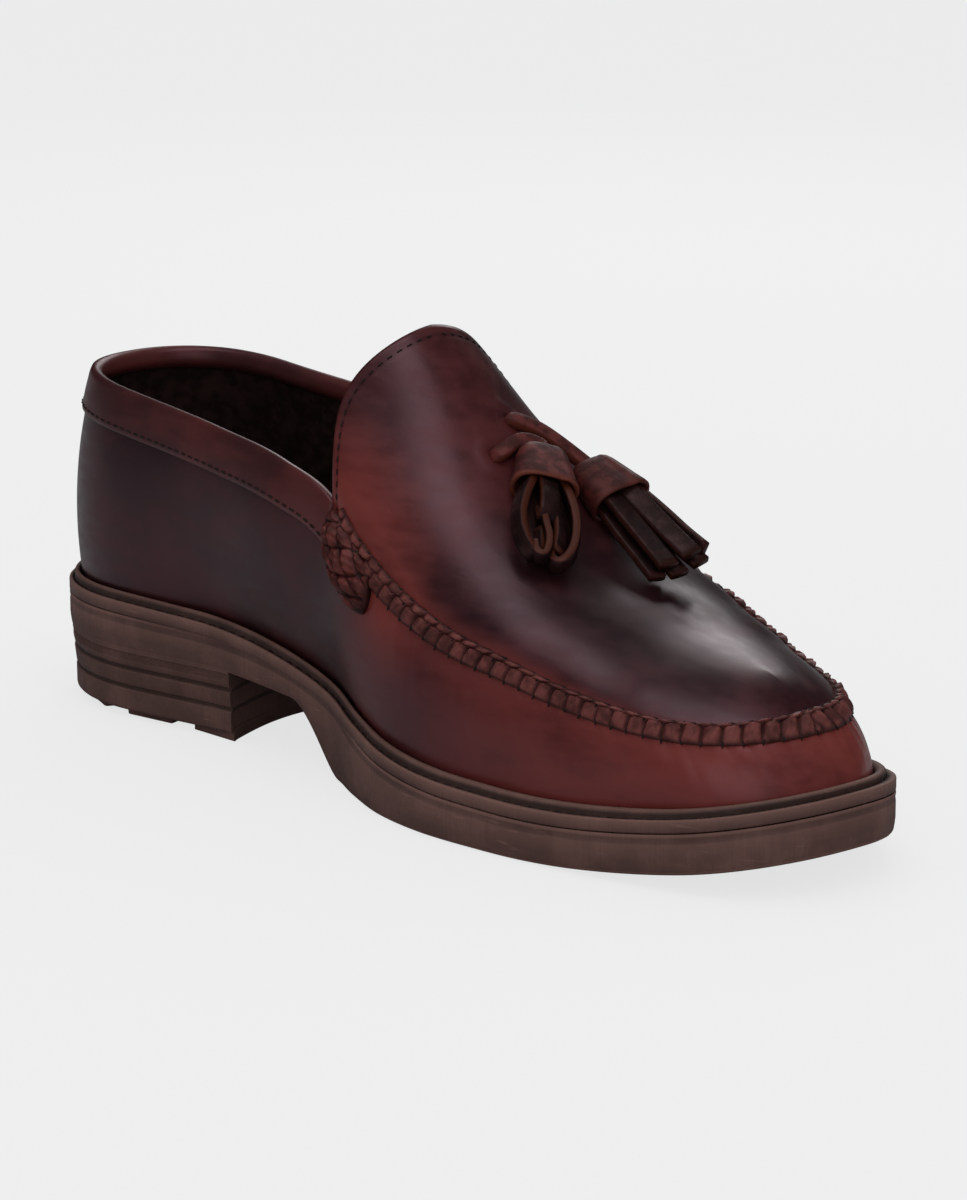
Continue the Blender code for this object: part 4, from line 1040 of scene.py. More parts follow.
def capped(rings, stations, across, heights):
    """Points and faces of stacked rings, closed by grids at the first and last ring."""
    rings = np.stack(rings)
    count = rings.shape[1]
    faces = grid_faces(len(rings), count, close_count=True)
    points = [rings.reshape(-1, 3)]
    total = len(points[0])
    for level, height in zip((0, len(rings) - 1), heights):
        k = np.arange(1, stations - 1)
        share = np.linspace(0.0, 1.0, across + 1)
        ring = rings[level]
        inner = (ring[k][:, None] * (1.0 - share[1:-1])[None, :, None]
                 + ring[count - k][:, None] * share[1:-1][None, :, None])
        if height:
            inner[..., 2] = height(inner[..., 0], inner[..., 1])
        index = np.zeros((stations - 2, across + 1), int)
        index[:, 0] = level * count + k
        index[:, -1] = level * count + count - k
        added = inner.shape[0] * inner.shape[1]
        index[:, 1:-1] = total + np.arange(added).reshape(inner.shape[:2])
        total += added
        points.append(inner.reshape(-1, 3))
        quads = np.stack([index[:-1, :-1], index[1:, :-1], index[1:, 1:], index[:-1, 1:]], -1)
        faces += quads.reshape(-1, 4).tolist()
        tips = level * count, level * count + stations - 1
        for row, tip in ((index[0], tips[0]), (index[-1], tips[1])):
            faces += [(tip, a, b) for a, b in zip(row, row[1:])]
    return np.concatenate(points), [tuple(map(int, face)) for face in faces]


def own_width(x, y):
    """Half width of the sole on the side of y."""
    return np.where(y < 0, half_width(-1, x), half_width(1, x))


def field_reach(x, width):
    """Half width of the recessed tread field from the sole's half width."""
    ends = round_end(x - FIELD_START, 30.0, 2.0) * round_end(FIELD_END - x, 24.0, 2.0)
    return np.maximum(width - TREAD_RIM, 0.0) * ends


def field_depth(x, y):
    """Distance inside the recessed tread field, below 0 outside it."""
    before, here, after = (field_reach(x + k, own_width(x + k, y)) for k in (-0.5, 0.0, 0.5))
    depth = (here - np.abs(y)) / np.hypot(1.0, after - before)
    return np.minimum(depth, np.minimum(x - FIELD_START, FIELD_END - x))


def tread_ground(x, y):
    """Height of the sole's underside without its lugs."""
    inside = smoothstep(-0.9, 1.1, field_depth(x, y))
    base = underside(x)
    margin = own_width(x, y) - np.abs(y)
    channel = CHANNEL_DEPTH * hump(CHANNEL_INSET, 1.1, margin) * smoothstep(128.0, 132.0, x)
    return base + channel + np.maximum(spring(x) + TREAD_DEPTH - base, 0.0) * inside


def build_sole_body():
    xs = SOLE_LENGTH * (1.0 - np.cos(np.linspace(0.0, math.pi, 361))) / 2.0
    side = [(1.6, 0.0), (1.0, 0.22), (0.6, 0.6), (0.4, 1.0), (0.2, 2.2), (0.0, 4.0)]
    lip = [(0.0, -2.8), (0.02, -2.5), (0.08, -2.25), (0.16, -1.9), (0.12, -1.4), (0.04, -1.05),
           (0.0, -0.8), (0.0, -0.3), (0.06, -0.08), (0.20, 0.0)]
    rings = [plan_ring(xs, inset, lambda x, up=up: underside(x) + up) for inset, up in side]
    rings += [plan_ring(xs, inset, lambda x, up=up: platform(x) + up) for inset, up in lip]
    points, faces = capped(rings, len(xs), 104, (tread_ground, None))
    piece = add_mesh("sole_body", points, faces, "sole_rubber", ("outsole",), SOLE_RUBBER)
    sharpen(piece, 50.0)
    count = rings[0].shape[0]
    edge = np.zeros(len(points))
    dark = np.zeros(len(points))
    # Rings are counted from the underside up: pale edge lines, part wear and part painted
    # highlight, and painted shade in the groove.
    for level, value in ((1, 0.4), (2, 0.5), (6, 0.2), (12, 0.25), (13, 0.35), (14, 0.3)):
        edge[level * count:(level + 1) * count] = value
    for level in (8, 9):
        dark[level * count:(level + 1) * count] = 0.12
    paint(piece, edge=edge, dark=dark)


def heel_outline(inset):
    """Plan of the heel block, closed by a hollow breast."""
    xs = HEEL_ROUND * (1.0 - np.cos(np.radians(np.arange(0, 84, 3))))
    xs = np.concatenate([xs, np.linspace(xs[-1], HEEL_LENGTH, 18)[1:]])
    plan = []
    for side, corner in ((-1, HEEL_LENGTH), (1, HEEL_LENGTH - BREAST_SKEW)):
        straight = (xs - HEEL_ROUND) * (corner - HEEL_ROUND) / (HEEL_LENGTH - HEEL_ROUND)
        x = np.where(xs < HEEL_ROUND, xs, HEEL_ROUND + straight)
        rail = SOLE_RAILS[side]
        share = np.interp(x, rail.points[:, 0], rail.arc)
        points = np.stack([x, side * half_width(side, x)], -1) - rail.outward(share) * inset
        plan.append(points)
    inner, outer = plan
    share = np.linspace(0.0, 1.0, BREAST_POINTS + 2)[1:-1, None]
    breast = inner[-1] + (outer[-1] - inner[-1]) * share
    breast[:, 0] -= BREAST_HOLLOW * np.sin(math.pi * share[:, 0])
    return np.concatenate([inner, breast, outer[::-1][:-1]])


def build_heel():
    """Heel block from stacked outlines, with two grooves and fine ribs under the welt."""
    levels = [(2.6, HEEL_FACE), (2.1, 2.4), (1.75, 2.8), (1.6, 3.3)]
    floors = []
    for share in (0.42, 0.70):
        floors += [len(levels) + 2, len(levels) + 3]
        level = ARCH_HEIGHT * share
        inset = 1.6 * (1.0 - share) + 0.6
        levels += [(inset, level - 0.15), (inset + 0.15, level), (inset + 0.75, level + 0.45),
                   (inset + 0.75, level + 1.1), (inset + 0.15, level + 1.5),
                   (inset, level + 1.65)]
    for k in range(6):
        levels += [(0.75, 17.2 + 0.36 * k), (0.95, 17.38 + 0.36 * k)]
    levels += [(0.6, 19.5), (0.6, ARCH_HEIGHT + 3.0)]
    rings = np.stack([extended(heel_outline(inset), z) for inset, z in levels])
    count = rings.shape[1]
    points = rings.reshape(-1, 3)
    faces = grid_faces(len(rings), count, close_count=True)
    centres = np.array([[42.0, 0.0, levels[0][1]], [42.0, 0.0, levels[-1][1]]])
    for row, centre in ((0, len(points)), (len(rings) - 1, len(points) + 1)):
        ring = [row * count + k for k in range(count)]
        faces += [(a, b, centre) for a, b in zip(ring, ring[1:] + ring[:1])]
    piece = add_mesh("heel_block", np.concatenate([points, centres]), faces, "sole_rubber",
                     finish=SOLE_RUBBER)
    sharpen(piece, 42.0)
    # Painted shade in the floors of the two grooves.
    dark = np.zeros(rings.shape[:2])
    dark[floors] = 0.65
    paint(piece, dark=np.append(dark, (0.0, 0.0)))


def build_welt():
    """Strip between sole and upper, with a stitched groove and a bead against the wall."""
    columns = np.linspace(-1.0, 1.0, 300)
    crest = WELT_THICKNESS + WELT_BEAD

    def make(side, some):
        edge, outward, _ = sole_edge(side, some)
        length = wall_length(side, some)

        def beside(height):
            return wall(side, some, height / length)[:, :2] + outward * 0.4

        lean = beside(crest)
        flat = np.maximum(np.sum((edge - lean) * outward, -1), 3.2)[:, None]
        rows = [(beside(0.0), 0.0)]
        for share, height in ((-0.2, 0.0), (-0.05, 0.12), (0.0, 0.4), (0.0, 2.9), (-0.10, 3.2),
                              (-0.35, 3.4)):
            rows.append((lean + outward * (flat + share), height))
        bead = np.minimum(flat - 1.5, 3.0)
        for gap, height in ((0.62, 3.4), (0.45, 3.1), (0.28, 2.85), (0.08, 2.95)):
            rows.append((lean + outward * (bead + gap), height))
        for angle in (-20, 5, 30, 55, 80, 105, 130, 155):
            reach = bead / 2 * (1.0 + math.cos(math.radians(angle)))
            rows.append((lean + outward * reach,
                         crest - 1.3 + 1.3 * math.sin(math.radians(angle))))
        rows.append((beside(WELT_THICKNESS), WELT_THICKNESS))
        return np.stack([extended(p, platform(p[:, 0]) + GAP + h) for p, h in rows], 1)

    rings = both_sides(columns, make)
    piece = add_mesh("welt_strip", *tube(rings, closed=True), "welt_rubber", ("welt",),
                     WELT_RUBBER)
    sharpen(piece, 60.0)
    edge = np.zeros(rings.shape[:2])
    # Rows of a ring: 4 to 6 are the outer lip, 9 to 12 the stitched groove, 14 to 16 the
    # crest of the bead and 18 to 20 its foot against the wall.
    # The outer lip and the bead's crest are painted pale as highlight lines; the stitched groove
    # and the bead's foot get painted shade.
    edge[:, 4:7] = 0.5
    edge[:, 14:17] = 0.30
    dark = np.zeros(rings.shape[:2])
    dark[:, 9:13] = 0.6
    dark[:, 18:21] = 0.5
    paint(piece, edge=edge, dark=dark)
    line = rings[:, 9] * 0.5 + rings[:, 8] * 0.5
    line = np.concatenate([line, line[:1]])
    picks = resample(line, WELT_PITCH)
    along = np.roll(picks, -1, 0) - np.roll(picks, 1, 0)
    up = np.tile((0.0, 0.0, 1.0), (len(picks), 1))
    stitches("welt_stitches", picks + up * 0.1, along, up, "welt_rubber", length=3.0,
             radius=0.34)


def build_insole():
    xs = 12.0 + (SOLE_LENGTH - 24.0) * (1.0 - np.cos(np.linspace(0.0, math.pi, 121))) / 2.0
    margin = OUTLINE.read("margin", xs / SOLE_LENGTH) * BALL_WIDTH + WALL + 0.75

    def ring(inset, up):
        rows = []
        for side in SIDES:
            few = slice(None) if side < 0 else slice(-2, 0, -1)
            x = (xs - xs[0]) / (xs[-1] - xs[0])
            s = SOLE_RAILS[side].at(x)
            edge = SOLE_RAILS[side].at(x) - SOLE_RAILS[side].outward(x) * (
                np.interp(s[:, 0], xs, margin) + inset)[:, None]
            rows.append(extended(edge, platform(edge[:, 0]) + 0.45 + up)[few])
        return np.concatenate(rows)

    rings = [ring(0.5, 0.0), ring(0.0, 0.4), ring(0.0, 2.4), ring(0.35, 2.85), ring(0.9, 3.0)]
    points, faces = capped(rings, len(xs), 12, (None, None))
    add_mesh("sock_lining", points, faces, "lining_leather", ("insole",), LINING)


FOREFOOT_LUGS = {
    "hook": [(0.667, -0.185), (0.588, -0.165), (0.538, -0.100), (0.532, 0.250),
             (0.580, 0.268), (0.594, -0.010), (0.662, -0.046)],
    "zigzag": [(0.804, -0.128), (0.684, -0.190), (0.668, 0.098), (0.606, 0.138),
               (0.598, 0.258), (0.724, 0.212), (0.734, -0.044), (0.802, -0.028)],
    "front hook": [(0.876, -0.082), (0.822, -0.138), (0.814, 0.020), (0.744, 0.084),
                   (0.738, 0.184), (0.868, 0.084)],
    "inner 1": [(0.608, -0.340), (0.552, -0.296), (0.546, -0.165), (0.598, -0.210)],
    "inner 2": [(0.668, -0.346), (0.616, -0.342), (0.611, -0.222), (0.668, -0.238)],
    "inner 3": [(0.738, -0.330), (0.686, -0.340), (0.682, -0.222), (0.733, -0.210)],
    "inner 4": [(0.806, -0.286), (0.758, -0.318), (0.752, -0.202), (0.803, -0.184)],
    "outer 1": [(0.650, 0.296), (0.594, 0.296), (0.588, 0.420), (0.650, 0.402)],
    "outer 2": [(0.722, 0.250), (0.670, 0.284), (0.660, 0.392), (0.722, 0.366)],
    "outer 3": [(0.794, 0.204), (0.740, 0.230), (0.734, 0.356), (0.794, 0.312)],
    "outer 4": [(0.868, 0.130), (0.812, 0.184), (0.804, 0.292), (0.868, 0.230)]}
TREAD_PANELS = {
    "toe": [(0.838, -0.262), (0.900, -0.236), (0.936, -0.150), (0.948, -0.040),
            (0.936, 0.070), (0.898, 0.140), (0.896, 0.050), (0.893, -0.080), (0.832, -0.160)],
    "rear": [(0.530, -0.190), (0.500, -0.150), (0.478, -0.040), (0.470, 0.120),
             (0.484, 0.250), (0.520, 0.345), (0.566, 0.392), (0.572, 0.300),
             (0.516, 0.270), (0.520, -0.080)]}
HEEL_LUGS = {
    "inner": [(0.382, -0.290), (0.162, -0.220), (0.348, -0.119), (0.465, -0.147)],
    "rear": [(0.093, -0.130), (0.072, 0.088), (0.268, 0.055), (0.279, -0.070)],
    "outer": [(0.313, 0.101), (0.127, 0.192), (0.313, 0.288), (0.420, 0.156)],
    "outer front": [(0.499, 0.165), (0.441, 0.298), (0.651, 0.312), (0.606, 0.174)],
    "inner front": [(0.699, -0.270), (0.499, -0.292), (0.533, -0.147), (0.644, -0.128)]}


CORNER_RADIUS = 1.2
RIB_SHARE = 0.62
LUG_ROOT = 0.8


def rounded_plan(corners):
    """Plan outline with its corners rounded and its long edges divided."""
    corners = np.asarray(corners, float)
    rows = []
    for before, here, after in zip(np.roll(corners, 1, 0), corners, np.roll(corners, -1, 0)):
        way_in = unit(before - here)
        way_out = unit(after - here)
        shortest = min(np.linalg.norm(before - here), np.linalg.norm(after - here))
        cut = min(CORNER_RADIUS, 0.3 * shortest)
        for t in (0.0, 0.25, 0.5, 0.75, 1.0):
            a, b = here + way_in * cut, here + way_out * cut
            rows.append(a * (1 - t) ** 2 + here * 2 * t * (1 - t) + b * t * t)
        gap = np.linalg.norm(after - here) - 2 * cut
        parts = max(int(gap // 5), 1)
        for k in range(1, parts):
            rows.append(here + way_out * (cut + gap * k / parts))
    return np.array(rows)


def inset_plan(plan, amount):
    """Plan outline moved inward."""
    run = np.roll(plan, -1, 0) - np.roll(plan, 1, 0)
    normal = unit(np.stack([-run[:, 1], run[:, 0]], -1))
    area = np.sum(plan[:, 0] * np.roll(plan[:, 1], -1) - plan[:, 1] * np.roll(plan[:, 0], -1))
    return plan + normal * amount * (1.0 if area > 0 else -1.0)


def stacked(plan_at, rows, low=np.zeros_like):
    """Solid from plans, each set at its height over low(x)."""
    plans = [(plan_at(size), up) for size, up in rows]
    return tube(np.stack([extended(plan, low(plan[:, 0]) + up) for plan, up in plans]))


def lug(corners, low):
    """Raised lug with a softened edge, rooted in the sole; low(x) is its face."""
    plan = rounded_plan(corners)
    rows = ((0.48, 0.0), (0.42, 0.0), (0.15, 0.12), (0.0, 0.45), (-0.15, TREAD_DEPTH),
            (-0.15, TREAD_DEPTH + LUG_ROOT))
    return stacked(lambda inset: inset_plan(plan, inset), rows, low)


def ribs(corners, way, pitch, height, face):
    """Fine parallel ribs across a plan outline, standing out from face(x, y)."""
    corners = np.asarray(corners, float)
    way = np.array([math.cos(math.radians(way)), math.sin(math.radians(way))])
    side = np.array([-way[1], way[0]])
    across = corners @ side
    pieces = []
    for c in np.arange(across.min() + pitch * 0.6, across.max() - pitch * 0.2, pitch):
        cuts = []
        for a, b in zip(corners, np.roll(corners, -1, 0)):
            da, db = a @ side - c, b @ side - c
            if da * db < 0:
                cuts.append((a + (b - a) * da / (da - db)) @ way)
        cuts.sort()
        for low, high in zip(cuts[::2], cuts[1::2]):
            if high - low < 1.5:
                continue
            t = np.linspace(low + 0.3, high - 0.3, max(int((high - low) / 4.0), 1) + 2)
            line = way * t[:, None] + side * c
            rows = []
            for shift, drop in ((-0.5, -0.4), (-0.5, 0.35), (-0.22, 1.0), (0.22, 1.0),
                                (0.5, 0.35), (0.5, -0.4)):
                place = line + side * (shift * RIB_SHARE * pitch)
                rows.append(extended(place, face(*place.T) - height * drop))
            pieces.append(tube(np.stack(rows, 1)))
    return pieces


def disc(x, radius, root):
    """Round pad with a softened rim, on the floor."""
    plan = np.stack([np.cos(circle(48)), np.sin(circle(48))], -1)
    rows = ((1.2, 0.0), (0.7, 0.0), (0.2, 0.15), (0.0, 0.6), (0.0, root))
    return stacked(lambda inset: plan * (radius - inset) + (x, 0.0), rows)


def outline_frame():
    """Plain raised rectangle in the waist."""
    sections = []
    for corner in ((-1, -1), (1, -1), (1, 1), (-1, 1)):
        inward = np.array(corner)
        section = []
        for inset, up in ((1.6, 0.6), (1.45, -0.65), (1.15, -0.8), (0.45, -0.8), (0.15, -0.65),
                          (0.0, 0.6)):
            p = FRAME_CENTRE + inward * (FRAME_HALF - inset)
            section.append((p[0], p[1], underside(p[0]) + up))
        sections.append(section)
    return tube(np.array(sections), closed=True)


def level_at(height):
    """Face of ribs that lie on a level."""
    return lambda x, y: np.full(x.shape, height)


def build_tread():
    """Lugs, panels and fine ribs of the underside, its plain disc and its plain rectangle."""
    scale = np.array([SOLE_LENGTH, BALL_WIDTH])
    lugs = [np.array(c) * scale for c in FOREFOOT_LUGS.values()]
    panels = {name: np.array(c) * scale for name, c in TREAD_PANELS.items()}
    lugs += [np.array(c) * (HEEL_LENGTH, BALL_WIDTH) for c in HEEL_LUGS.values()]
    outline = heel_outline(2.6)
    count = (len(outline) - BREAST_POINTS + 1) // 2
    breast = outline[count:count + BREAST_POINTS][::-1]
    inner, outer = outline[count - 1], outline[count + BREAST_POINTS]
    front = np.concatenate([[outer], breast, [inner], [inner - (PANEL_INNER, 0.0)],
                            breast[::-1] - (PANEL_INNER, 0.0), [outer - (PANEL_OUTER, 0.0)]])
    pieces = [lug(c, spring) for c in lugs]
    pieces += [lug(c, lambda x: spring(x) + RIB_HEIGHT) for c in panels.values()]
    pieces.append(stacked(lambda inset: inset_plan(front, inset),
                          ((0.4, 0.0), (0.3, 0.0), (0.1, 0.1), (0.0, 0.35), (0.0, 3.6))))
    pieces.append(disc(BUTTON_X, BUTTON_RADIUS, 3.4))
    pieces.append(outline_frame())
    piece = add_mesh("tread_lugs", *joined(pieces), "sole_rubber", finish=SOLE_RUBBER)
    sharpen(piece, 40.0)

    field = []
    for side in SIDES:
        x = np.linspace(138.0, SOLE_LENGTH - 17.0, 60)[::-side]
        y = field_reach(x, half_width(side, x))
        field.append(np.stack([x, side * (y - 1.0)], -1))
    fine = ribs(np.concatenate(field), 90.0, TREAD_PITCH, 0.40, tread_ground)
    for name, way in (("toe", 78.0), ("rear", 84.0)):
        fine += ribs(inset_plan(panels[name], 1.2), way, PANEL_PITCH, RIB_HEIGHT,
                     lambda x, y: spring(x) + RIB_HEIGHT + 0.02)
    fine += ribs(inset_plan(outline, 3.0), 90.0, TREAD_PITCH, 0.36, level_at(HEEL_FACE))
    fine += ribs(inset_plan(front, 1.5), 0.0, 1.5, 0.0, level_at(0.30))
    ribbing = add_mesh("tread_ribs", *joined(fine), "sole_rubber", finish=SOLE_RUBBER)
    sharpen(ribbing, 40.0)


def sole_stitches():
    """Dashed stitches in the channel on the plain rim of the forefoot."""
    picks = []
    for side in SIDES:
        x = np.linspace(134.0, 272.0, 500)
        y = side * (half_width(side, x) - CHANNEL_INSET)
        line = np.stack([x, y, underside(x) + 0.55 * CHANNEL_DEPTH], -1)
        picks.append(resample(line, SOLE_PITCH))
    along = np.concatenate([np.gradient(some, axis=0) for some in picks])
    picks = np.concatenate(picks)
    down = np.tile((0.0, 0.0, -1.0), (len(picks), 1))
    stitches("sole_stitches", picks, along, down, "sole_rubber", length=3.6, radius=0.42,
             lift=0.0)


# Tassels

TASSEL_SEAT = 1.0
BAND_WIDTH = 16.5
BAND_DEPTH = 10.0
BAND_HEIGHT = 15.5
HEAD_NEAR, TIP_NEAR = (168.5, 7.5), (197.5, -17.0)
HEAD_FAR, TIP_FAR = (172.5, 21.5), (211.5, 20.0)
LEAN_FAR = 27.0
WRAP_START = 1.9
LACE_WIDTH = 4.2
LACE_THICKNESS = 3.0


def apron_tree(parts):
    grid, faces = parts[1]
    points = [Vector(p) for p in grid[..., :3].reshape(-1, 3).tolist()]
    return BVHTree.FromPolygons(points, faces)


def over_skin(tree, x, y):
    """Point of the apron under a plan position, and its upward normal."""
    hit, normal, _, _ = tree.ray_cast(Vector((x, y, 300.0)), Vector((0, 0, -1)))
    return np.array(hit), np.array(normal if normal.z > 0 else -normal)


def tassel_frame(tree, head, tip, lean):
    """Head of a tassel and its ways across, out and up; lean turns it about its length."""
    start, normal_head = over_skin(tree, *head)
    end, normal_tip = over_skin(tree, *tip)
    axis = unit(start - end)
    normal = normal_head + normal_tip
    normal = unit(normal - axis * normal.dot(axis))
    normal = unit(normal + np.cross(normal, axis) * math.tan(math.radians(lean)))
    return start, np.stack([np.cross(normal, axis), normal, axis])


def tassel_band():
    """Wrapped band of a tassel, open below, with the end of its wrap as a step."""
    rings = []
    turns = circle(64)
    after = (turns - WRAP_START) % (2 * math.pi)
    wrap = 0.5 * smoothstep(0.0, 0.12, after) * (1.0 - 0.9 * after / (2 * math.pi))
    for share, size in ((0.0, 0.40), (0.0, 0.56), (0.02, 0.67), (0.07, 0.75), (0.18, 0.82),
                        (0.4, 0.90), (0.7, 1.00), (0.90, 1.08), (0.97, 1.09), (1.0, 1.05),
                        (1.0, 0.96), (0.95, 0.90), (0.6, 0.80)):
        x = squared(np.cos(turns), 0.75) * (BAND_WIDTH / 2 + wrap) * size
        y = squared(np.sin(turns), 0.8) * (BAND_DEPTH / 2 + wrap) * size
        rings.append(extended(np.stack([x, y], -1), -share * BAND_HEIGHT))
    rings = np.stack(rings)
    edge = np.zeros(rings.shape[:2])
    edge[8:12] = 0.8
    return rings, edge


def straight_strips():
    """Flat strips of the far tassel: stops, way across, width and thickness."""
    rows = []
    for k, (x, y, wide, far, tip, tilt) in enumerate([
            (3.3, 2.3, 5.8, 2.6, -43.5, 0.10), (-2.4, 2.5, 5.8, 0.2, -42.8, -0.22),
            (-6.0, 0.6, 4.8, -1.6, -41.5, -2.6), (5.4, -1.2, 5.2, 3.2, -43.0, 0.2),
            (0.9, -1.4, 5.6, 1.4, -44.5, 0.0), (-4.0, -1.5, 5.4, -1.6, -43.4, -0.1)]):
        sag = 0.5 * uneven(k, 2.0)
        stops = [(x * 0.62, y * 0.6, -5.0), (x * 0.9, y, -15.0), (x + 0.3 * far, y + sag, -25.0),
                 (x + 0.6 * far, y + 0.5 * sag, -34.0), (x + far, y + 0.3, tip)]
        rows.append((stops, (1.0, tilt, 0.0), wide, 2.3))
    return rows


def looped_strips():
    """Strips of the near tassel, folded back on themselves."""
    return [
        ([(-3.2, 0.6, -9.0), (-6.0, 1.0, -16.0), (-7.6, 1.3, -25.0), (-7.4, 1.3, -33.0),
          (-5.8, 1.2, -40.0), (-2.9, 0.4, -44.0), (-0.8, -0.8, -41.5), (-0.9, -1.2, -32.0)],
         (0.25, 1.0, 0.0), 4.6, 2.6),
        ([(2.8, 0.8, -9.0), (5.0, 1.5, -16.0), (7.4, 1.8, -24.0), (8.4, 1.6, -31.5),
          (7.4, 1.2, -38.0), (4.8, 0.3, -41.6), (2.4, -0.9, -39.0), (1.9, -1.2, -31.0)],
         (-0.45, 1.0, 0.0), 4.6, 2.6),
        ([(-0.2, 1.6, -9.0), (-0.2, 3.0, -16.0), (0.0, 3.8, -22.0), (0.3, 3.0, -26.8),
          (0.4, 1.0, -28.2), (0.2, -0.4, -23.0)], (1.0, 0.12, 0.1), 5.2, 2.1),
        ([(-2.0, 0.6, -10.0), (-3.0, 1.2, -22.0), (-3.4, 1.3, -32.0), (-2.4, 0.9, -40.0)],
         (0.85, 0.55, 0.0), 4.4, 2.0),
        ([(0.6, 0.4, -17.0), (0.8, 1.3, -29.0), (0.2, 1.7, -37.0), (1.4, 1.5, -43.0),
          (3.6, 1.2, -43.2), (4.0, 0.6, -38.5)], (0.30, 1.0, 0.0), 4.0, 2.2),
        ([(0.6, -1.6, -7.0), (0.8, -2.0, -20.0), (0.2, -1.9, -33.0), (0.6, -1.7, -41.0)],
         (1.0, 0.0, 0.0), 8.4, 1.6),
        ([(-3.0, -1.6, -7.0), (-4.4, -1.8, -20.0), (-4.8, -1.7, -32.0), (-3.8, -1.7, -39.0)],
         (1.0, 0.0, 0.0), 5.0, 1.6)]


def build_tassel(name, tree, head, tip, lean, strips, stands_for, worn):
    start, turn = tassel_frame(tree, head, tip, lean)
    rows = [ribbon(stops, np.array(way), wide, thick) for stops, way, wide, thick in strips]
    points, faces, edge = ribbons(rows)
    wrap, wrap_faces, wrap_edge = ribbons([tassel_band()])
    place = start + points @ turn
    low = []
    for p in place[::7]:
        hit, normal, _, _ = tree.find_nearest(Vector(p))
        normal = normal if normal.z > 0 else -normal
        low.append((Vector(p) - hit).dot(normal))
    lift = turn[1] * (TASSEL_SEAT - min(low))
    piece = add_mesh(name, place + lift, faces, "trim_leather", stands_for, TASSEL_LEATHER)
    paint(piece, edge=edge * worn)
    wrap = add_mesh(name + "_wrap", start + wrap @ turn + lift, wrap_faces, "trim_leather",
                    finish=WRAP_LEATHER)
    # The wrap is painted darker as worn falls below 1, and worn also sets how pale the raw cut
    # edges are.
    paint(wrap, edge=wrap_edge * worn, dark=np.full(wrap_edge.shape, 0.45 * (1.0 - worn)))
    return start + lift, turn


def build_thong(tree, heads):
    """Flat laces from the slots to the tassels' heads."""
    rows = []
    for slot, (head, turn) in zip(SLOTS, heads):
        point, normal = over_skin(tree, *slot)
        back = unit(point - head)
        end = head + turn[1] * 0.2 + turn[2] * 0.2
        rise = point + normal * 1.6 - back * 0.8
        bend = 0.5 * (end + rise) + turn[2] * 3.6 + turn[1] * 0.8
        stops = [point - normal * 1.9 + back * 0.3, point - normal * 0.2 + back * 0.5, rise,
                 bend, end + turn[2] * 1.2, end - turn[2] * 4.0]
        rows.append(ribbon(stops, np.cross(back, normal), LACE_WIDTH, LACE_THICKNESS, steps=7))
    points, faces, edge = ribbons(rows)
    piece = add_mesh("thong_laces", points, faces, "trim_leather", ("tassel_thong",),
                     WRAP_LEATHER)
    paint(piece, edge=edge * 0.6)


# Studio

CAMERA_TURN = 47.5
CAMERA_RISE = 14.3
CAMERA_TARGET = (150.0, 0.0, 40.0)
CAMERA_DISTANCE = 1.36
FOCAL_PIXELS = 2833.0
SHIFT_PIXELS = (9.0, 14.6)
LIGHT_TARGET = Vector((0.03, 0.0, 0.06))
PAPER = 0.856


def build_camera():
    azimuth, elevation = math.radians(CAMERA_TURN), math.radians(CAMERA_RISE)
    back = Vector((math.sin(azimuth) * math.cos(elevation),
                   -math.cos(azimuth) * math.cos(elevation), math.sin(elevation)))
    target = Vector(metres(CAMERA_TARGET))
    right = Vector((math.cos(azimuth), math.sin(azimuth), 0.0))
    up = back.cross(right)
    camera = bpy.data.objects.new("camera", bpy.data.cameras.new("camera"))
    bpy.context.scene.collection.objects.link(camera)
    camera.location = target + back * CAMERA_DISTANCE
    sideways, upward = (shift / FOCAL_PIXELS for shift in SHIFT_PIXELS)
    aim = -back + right * sideways + up * upward
    camera.rotation_mode = 'QUATERNION'
    camera.rotation_quaternion = aim.to_track_quat('-Z', 'Y')
    camera.data.sensor_width = 36.0
    camera.data.lens = 152.0
    camera.data.clip_start = 0.01
    camera.data.clip_end = 100.0
    bpy.context.scene.camera = camera


def softbox(name, centre, size, watts, long_way):
    """Area light whose longer side runs the long way."""
    data = bpy.data.lights.new(name, 'AREA')
    data.shape = 'RECTANGLE'
    data.size, data.size_y = size
    data.energy = watts
    lamp = bpy.data.objects.new(name, data)
    bpy.context.scene.collection.objects.link(lamp)
    lamp.location = centre
    back = (Vector(centre) - LIGHT_TARGET).normalized()
    across = Vector(long_way).cross(back).normalized()
    turn = Matrix((across, back.cross(across), back)).transposed()
    lamp.rotation_mode = 'QUATERNION'
    lamp.rotation_quaternion = turn.to_quaternion()
    lamp.visible_camera = False


def shader_mix(tree, factor, a, b):
    return put(tree, 'ShaderNodeMixShader', {0: factor, 1: a, 2: b}).outputs[0]


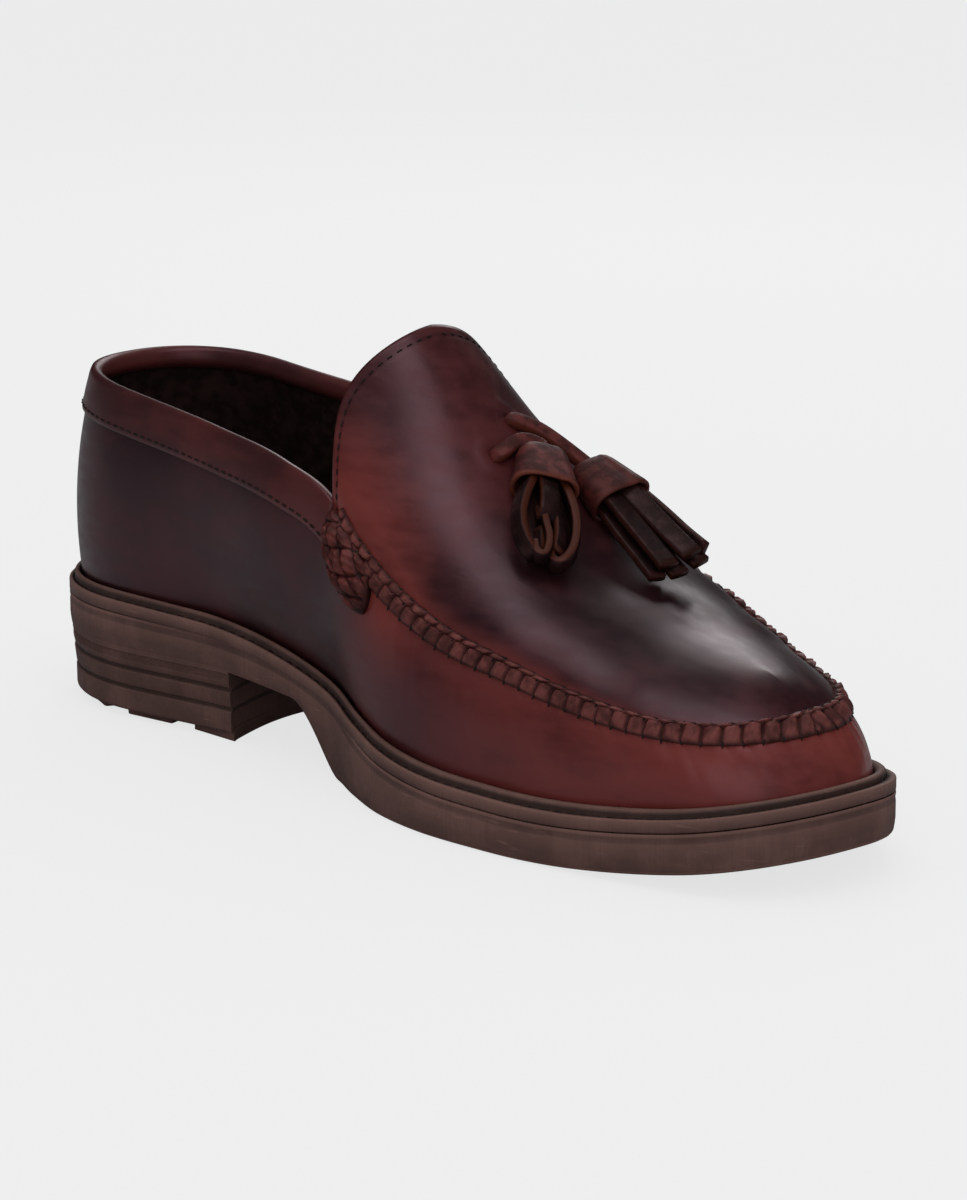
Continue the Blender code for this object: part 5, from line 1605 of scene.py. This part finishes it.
def build_stage():
    """Pale paper, softly lit; it reflects less into the leather than it shows."""
    bpy.ops.mesh.primitive_plane_add(size=24.0, location=(0.0, 0.0, 0.0))
    floor = bpy.context.object
    floor.name = "floor"
    made, tree, shader = new_material("pale paper", 0.9, specular=0.0)
    glow = put(tree, 'ShaderNodeEmission', {'Color': (PAPER, PAPER * 1.003, PAPER * 1.006, 1.0)})
    lit = put(tree, 'ShaderNodeBsdfDiffuse', {'Color': (0.8, 0.8, 0.8, 1.0)}).outputs[0]
    dim = put(tree, 'ShaderNodeBsdfDiffuse', {'Color': (0.30, 0.30, 0.305, 1.0)}).outputs[0]
    seen = put(tree, 'ShaderNodeLightPath').outputs['Is Camera Ray']
    shown = shader_mix(tree, 0.14, glow.outputs[0], lit)
    final = shader_mix(tree, seen, dim, shown)
    tree.links.new(final, tree.nodes['Material Output'].inputs['Surface'])
    floor.data.materials.append(made)
    world = bpy.data.worlds.new("studio")
    bpy.context.scene.world = world
    world.use_nodes = True
    tree = world.node_tree
    path = put(tree, 'ShaderNodeLightPath')
    base = mix(tree, path.outputs['Is Diffuse Ray'], (0.016, 0.016, 0.018), (0.80, 0.80, 0.82))
    colour = mix(tree, path.outputs['Is Camera Ray'], base, (PAPER, PAPER, PAPER))
    tree.links.new(colour, tree.nodes['Background'].inputs['Color'])
    softbox("overhead box", (0.10, -0.08, 1.15), (0.44, 1.10), 3.0, (1.0, 0.0, 0.0))
    softbox("back box", (-0.60, 0.76, 0.57), (0.42, 0.46), 1.7, (0.0, 0.0, 1.0))
    softbox("front fill", (0.75, -0.75, 0.42), (0.9, 0.7), 1.5, (0.0, 0.0, 1.0))


def main():
    bpy.context.scene.view_settings.view_transform = 'Standard'
    build_camera()
    build_stage()
    parts = upper_shell(quarter=100, front=220, wall_rows=30, apron_rows=48, inset=0.0,
                        relief=True)
    shell_mesh("upper_leather", parts, "upper_leather", ("upper",), LEATHER, SKIN, CUT_EDGE)
    lining = upper_shell(quarter=60, front=90, wall_rows=16, apron_rows=16,
                         inset=SKIN + 0.15, relief=False)
    shell_mesh("lining", lining, "lining_leather", (), LINING, WALL - SKIN - 0.2, LINING)
    tongue_stitches()
    build_seam()
    seam_threads()
    build_roll(-1, "roll_inner", ("beefroll_medial",))
    build_roll(1, "roll_outer", ("beefroll_lateral",))
    roll_threads()
    build_collar_band()
    collar_stitches()
    build_sole_body()
    build_heel()
    build_welt()
    build_insole()
    build_tread()
    sole_stitches()
    tree = apron_tree(parts)
    near = build_tassel("tassel_looped", tree, HEAD_NEAR, TIP_NEAR, 0.0, looped_strips(),
                        ("tassel_near",), 1.0)
    far = build_tassel("tassel_straight", tree, HEAD_FAR, TIP_FAR, LEAN_FAR, straight_strips(),
                       ("tassel_far",), 0.4)
    build_thong(tree, (near, far))


main()
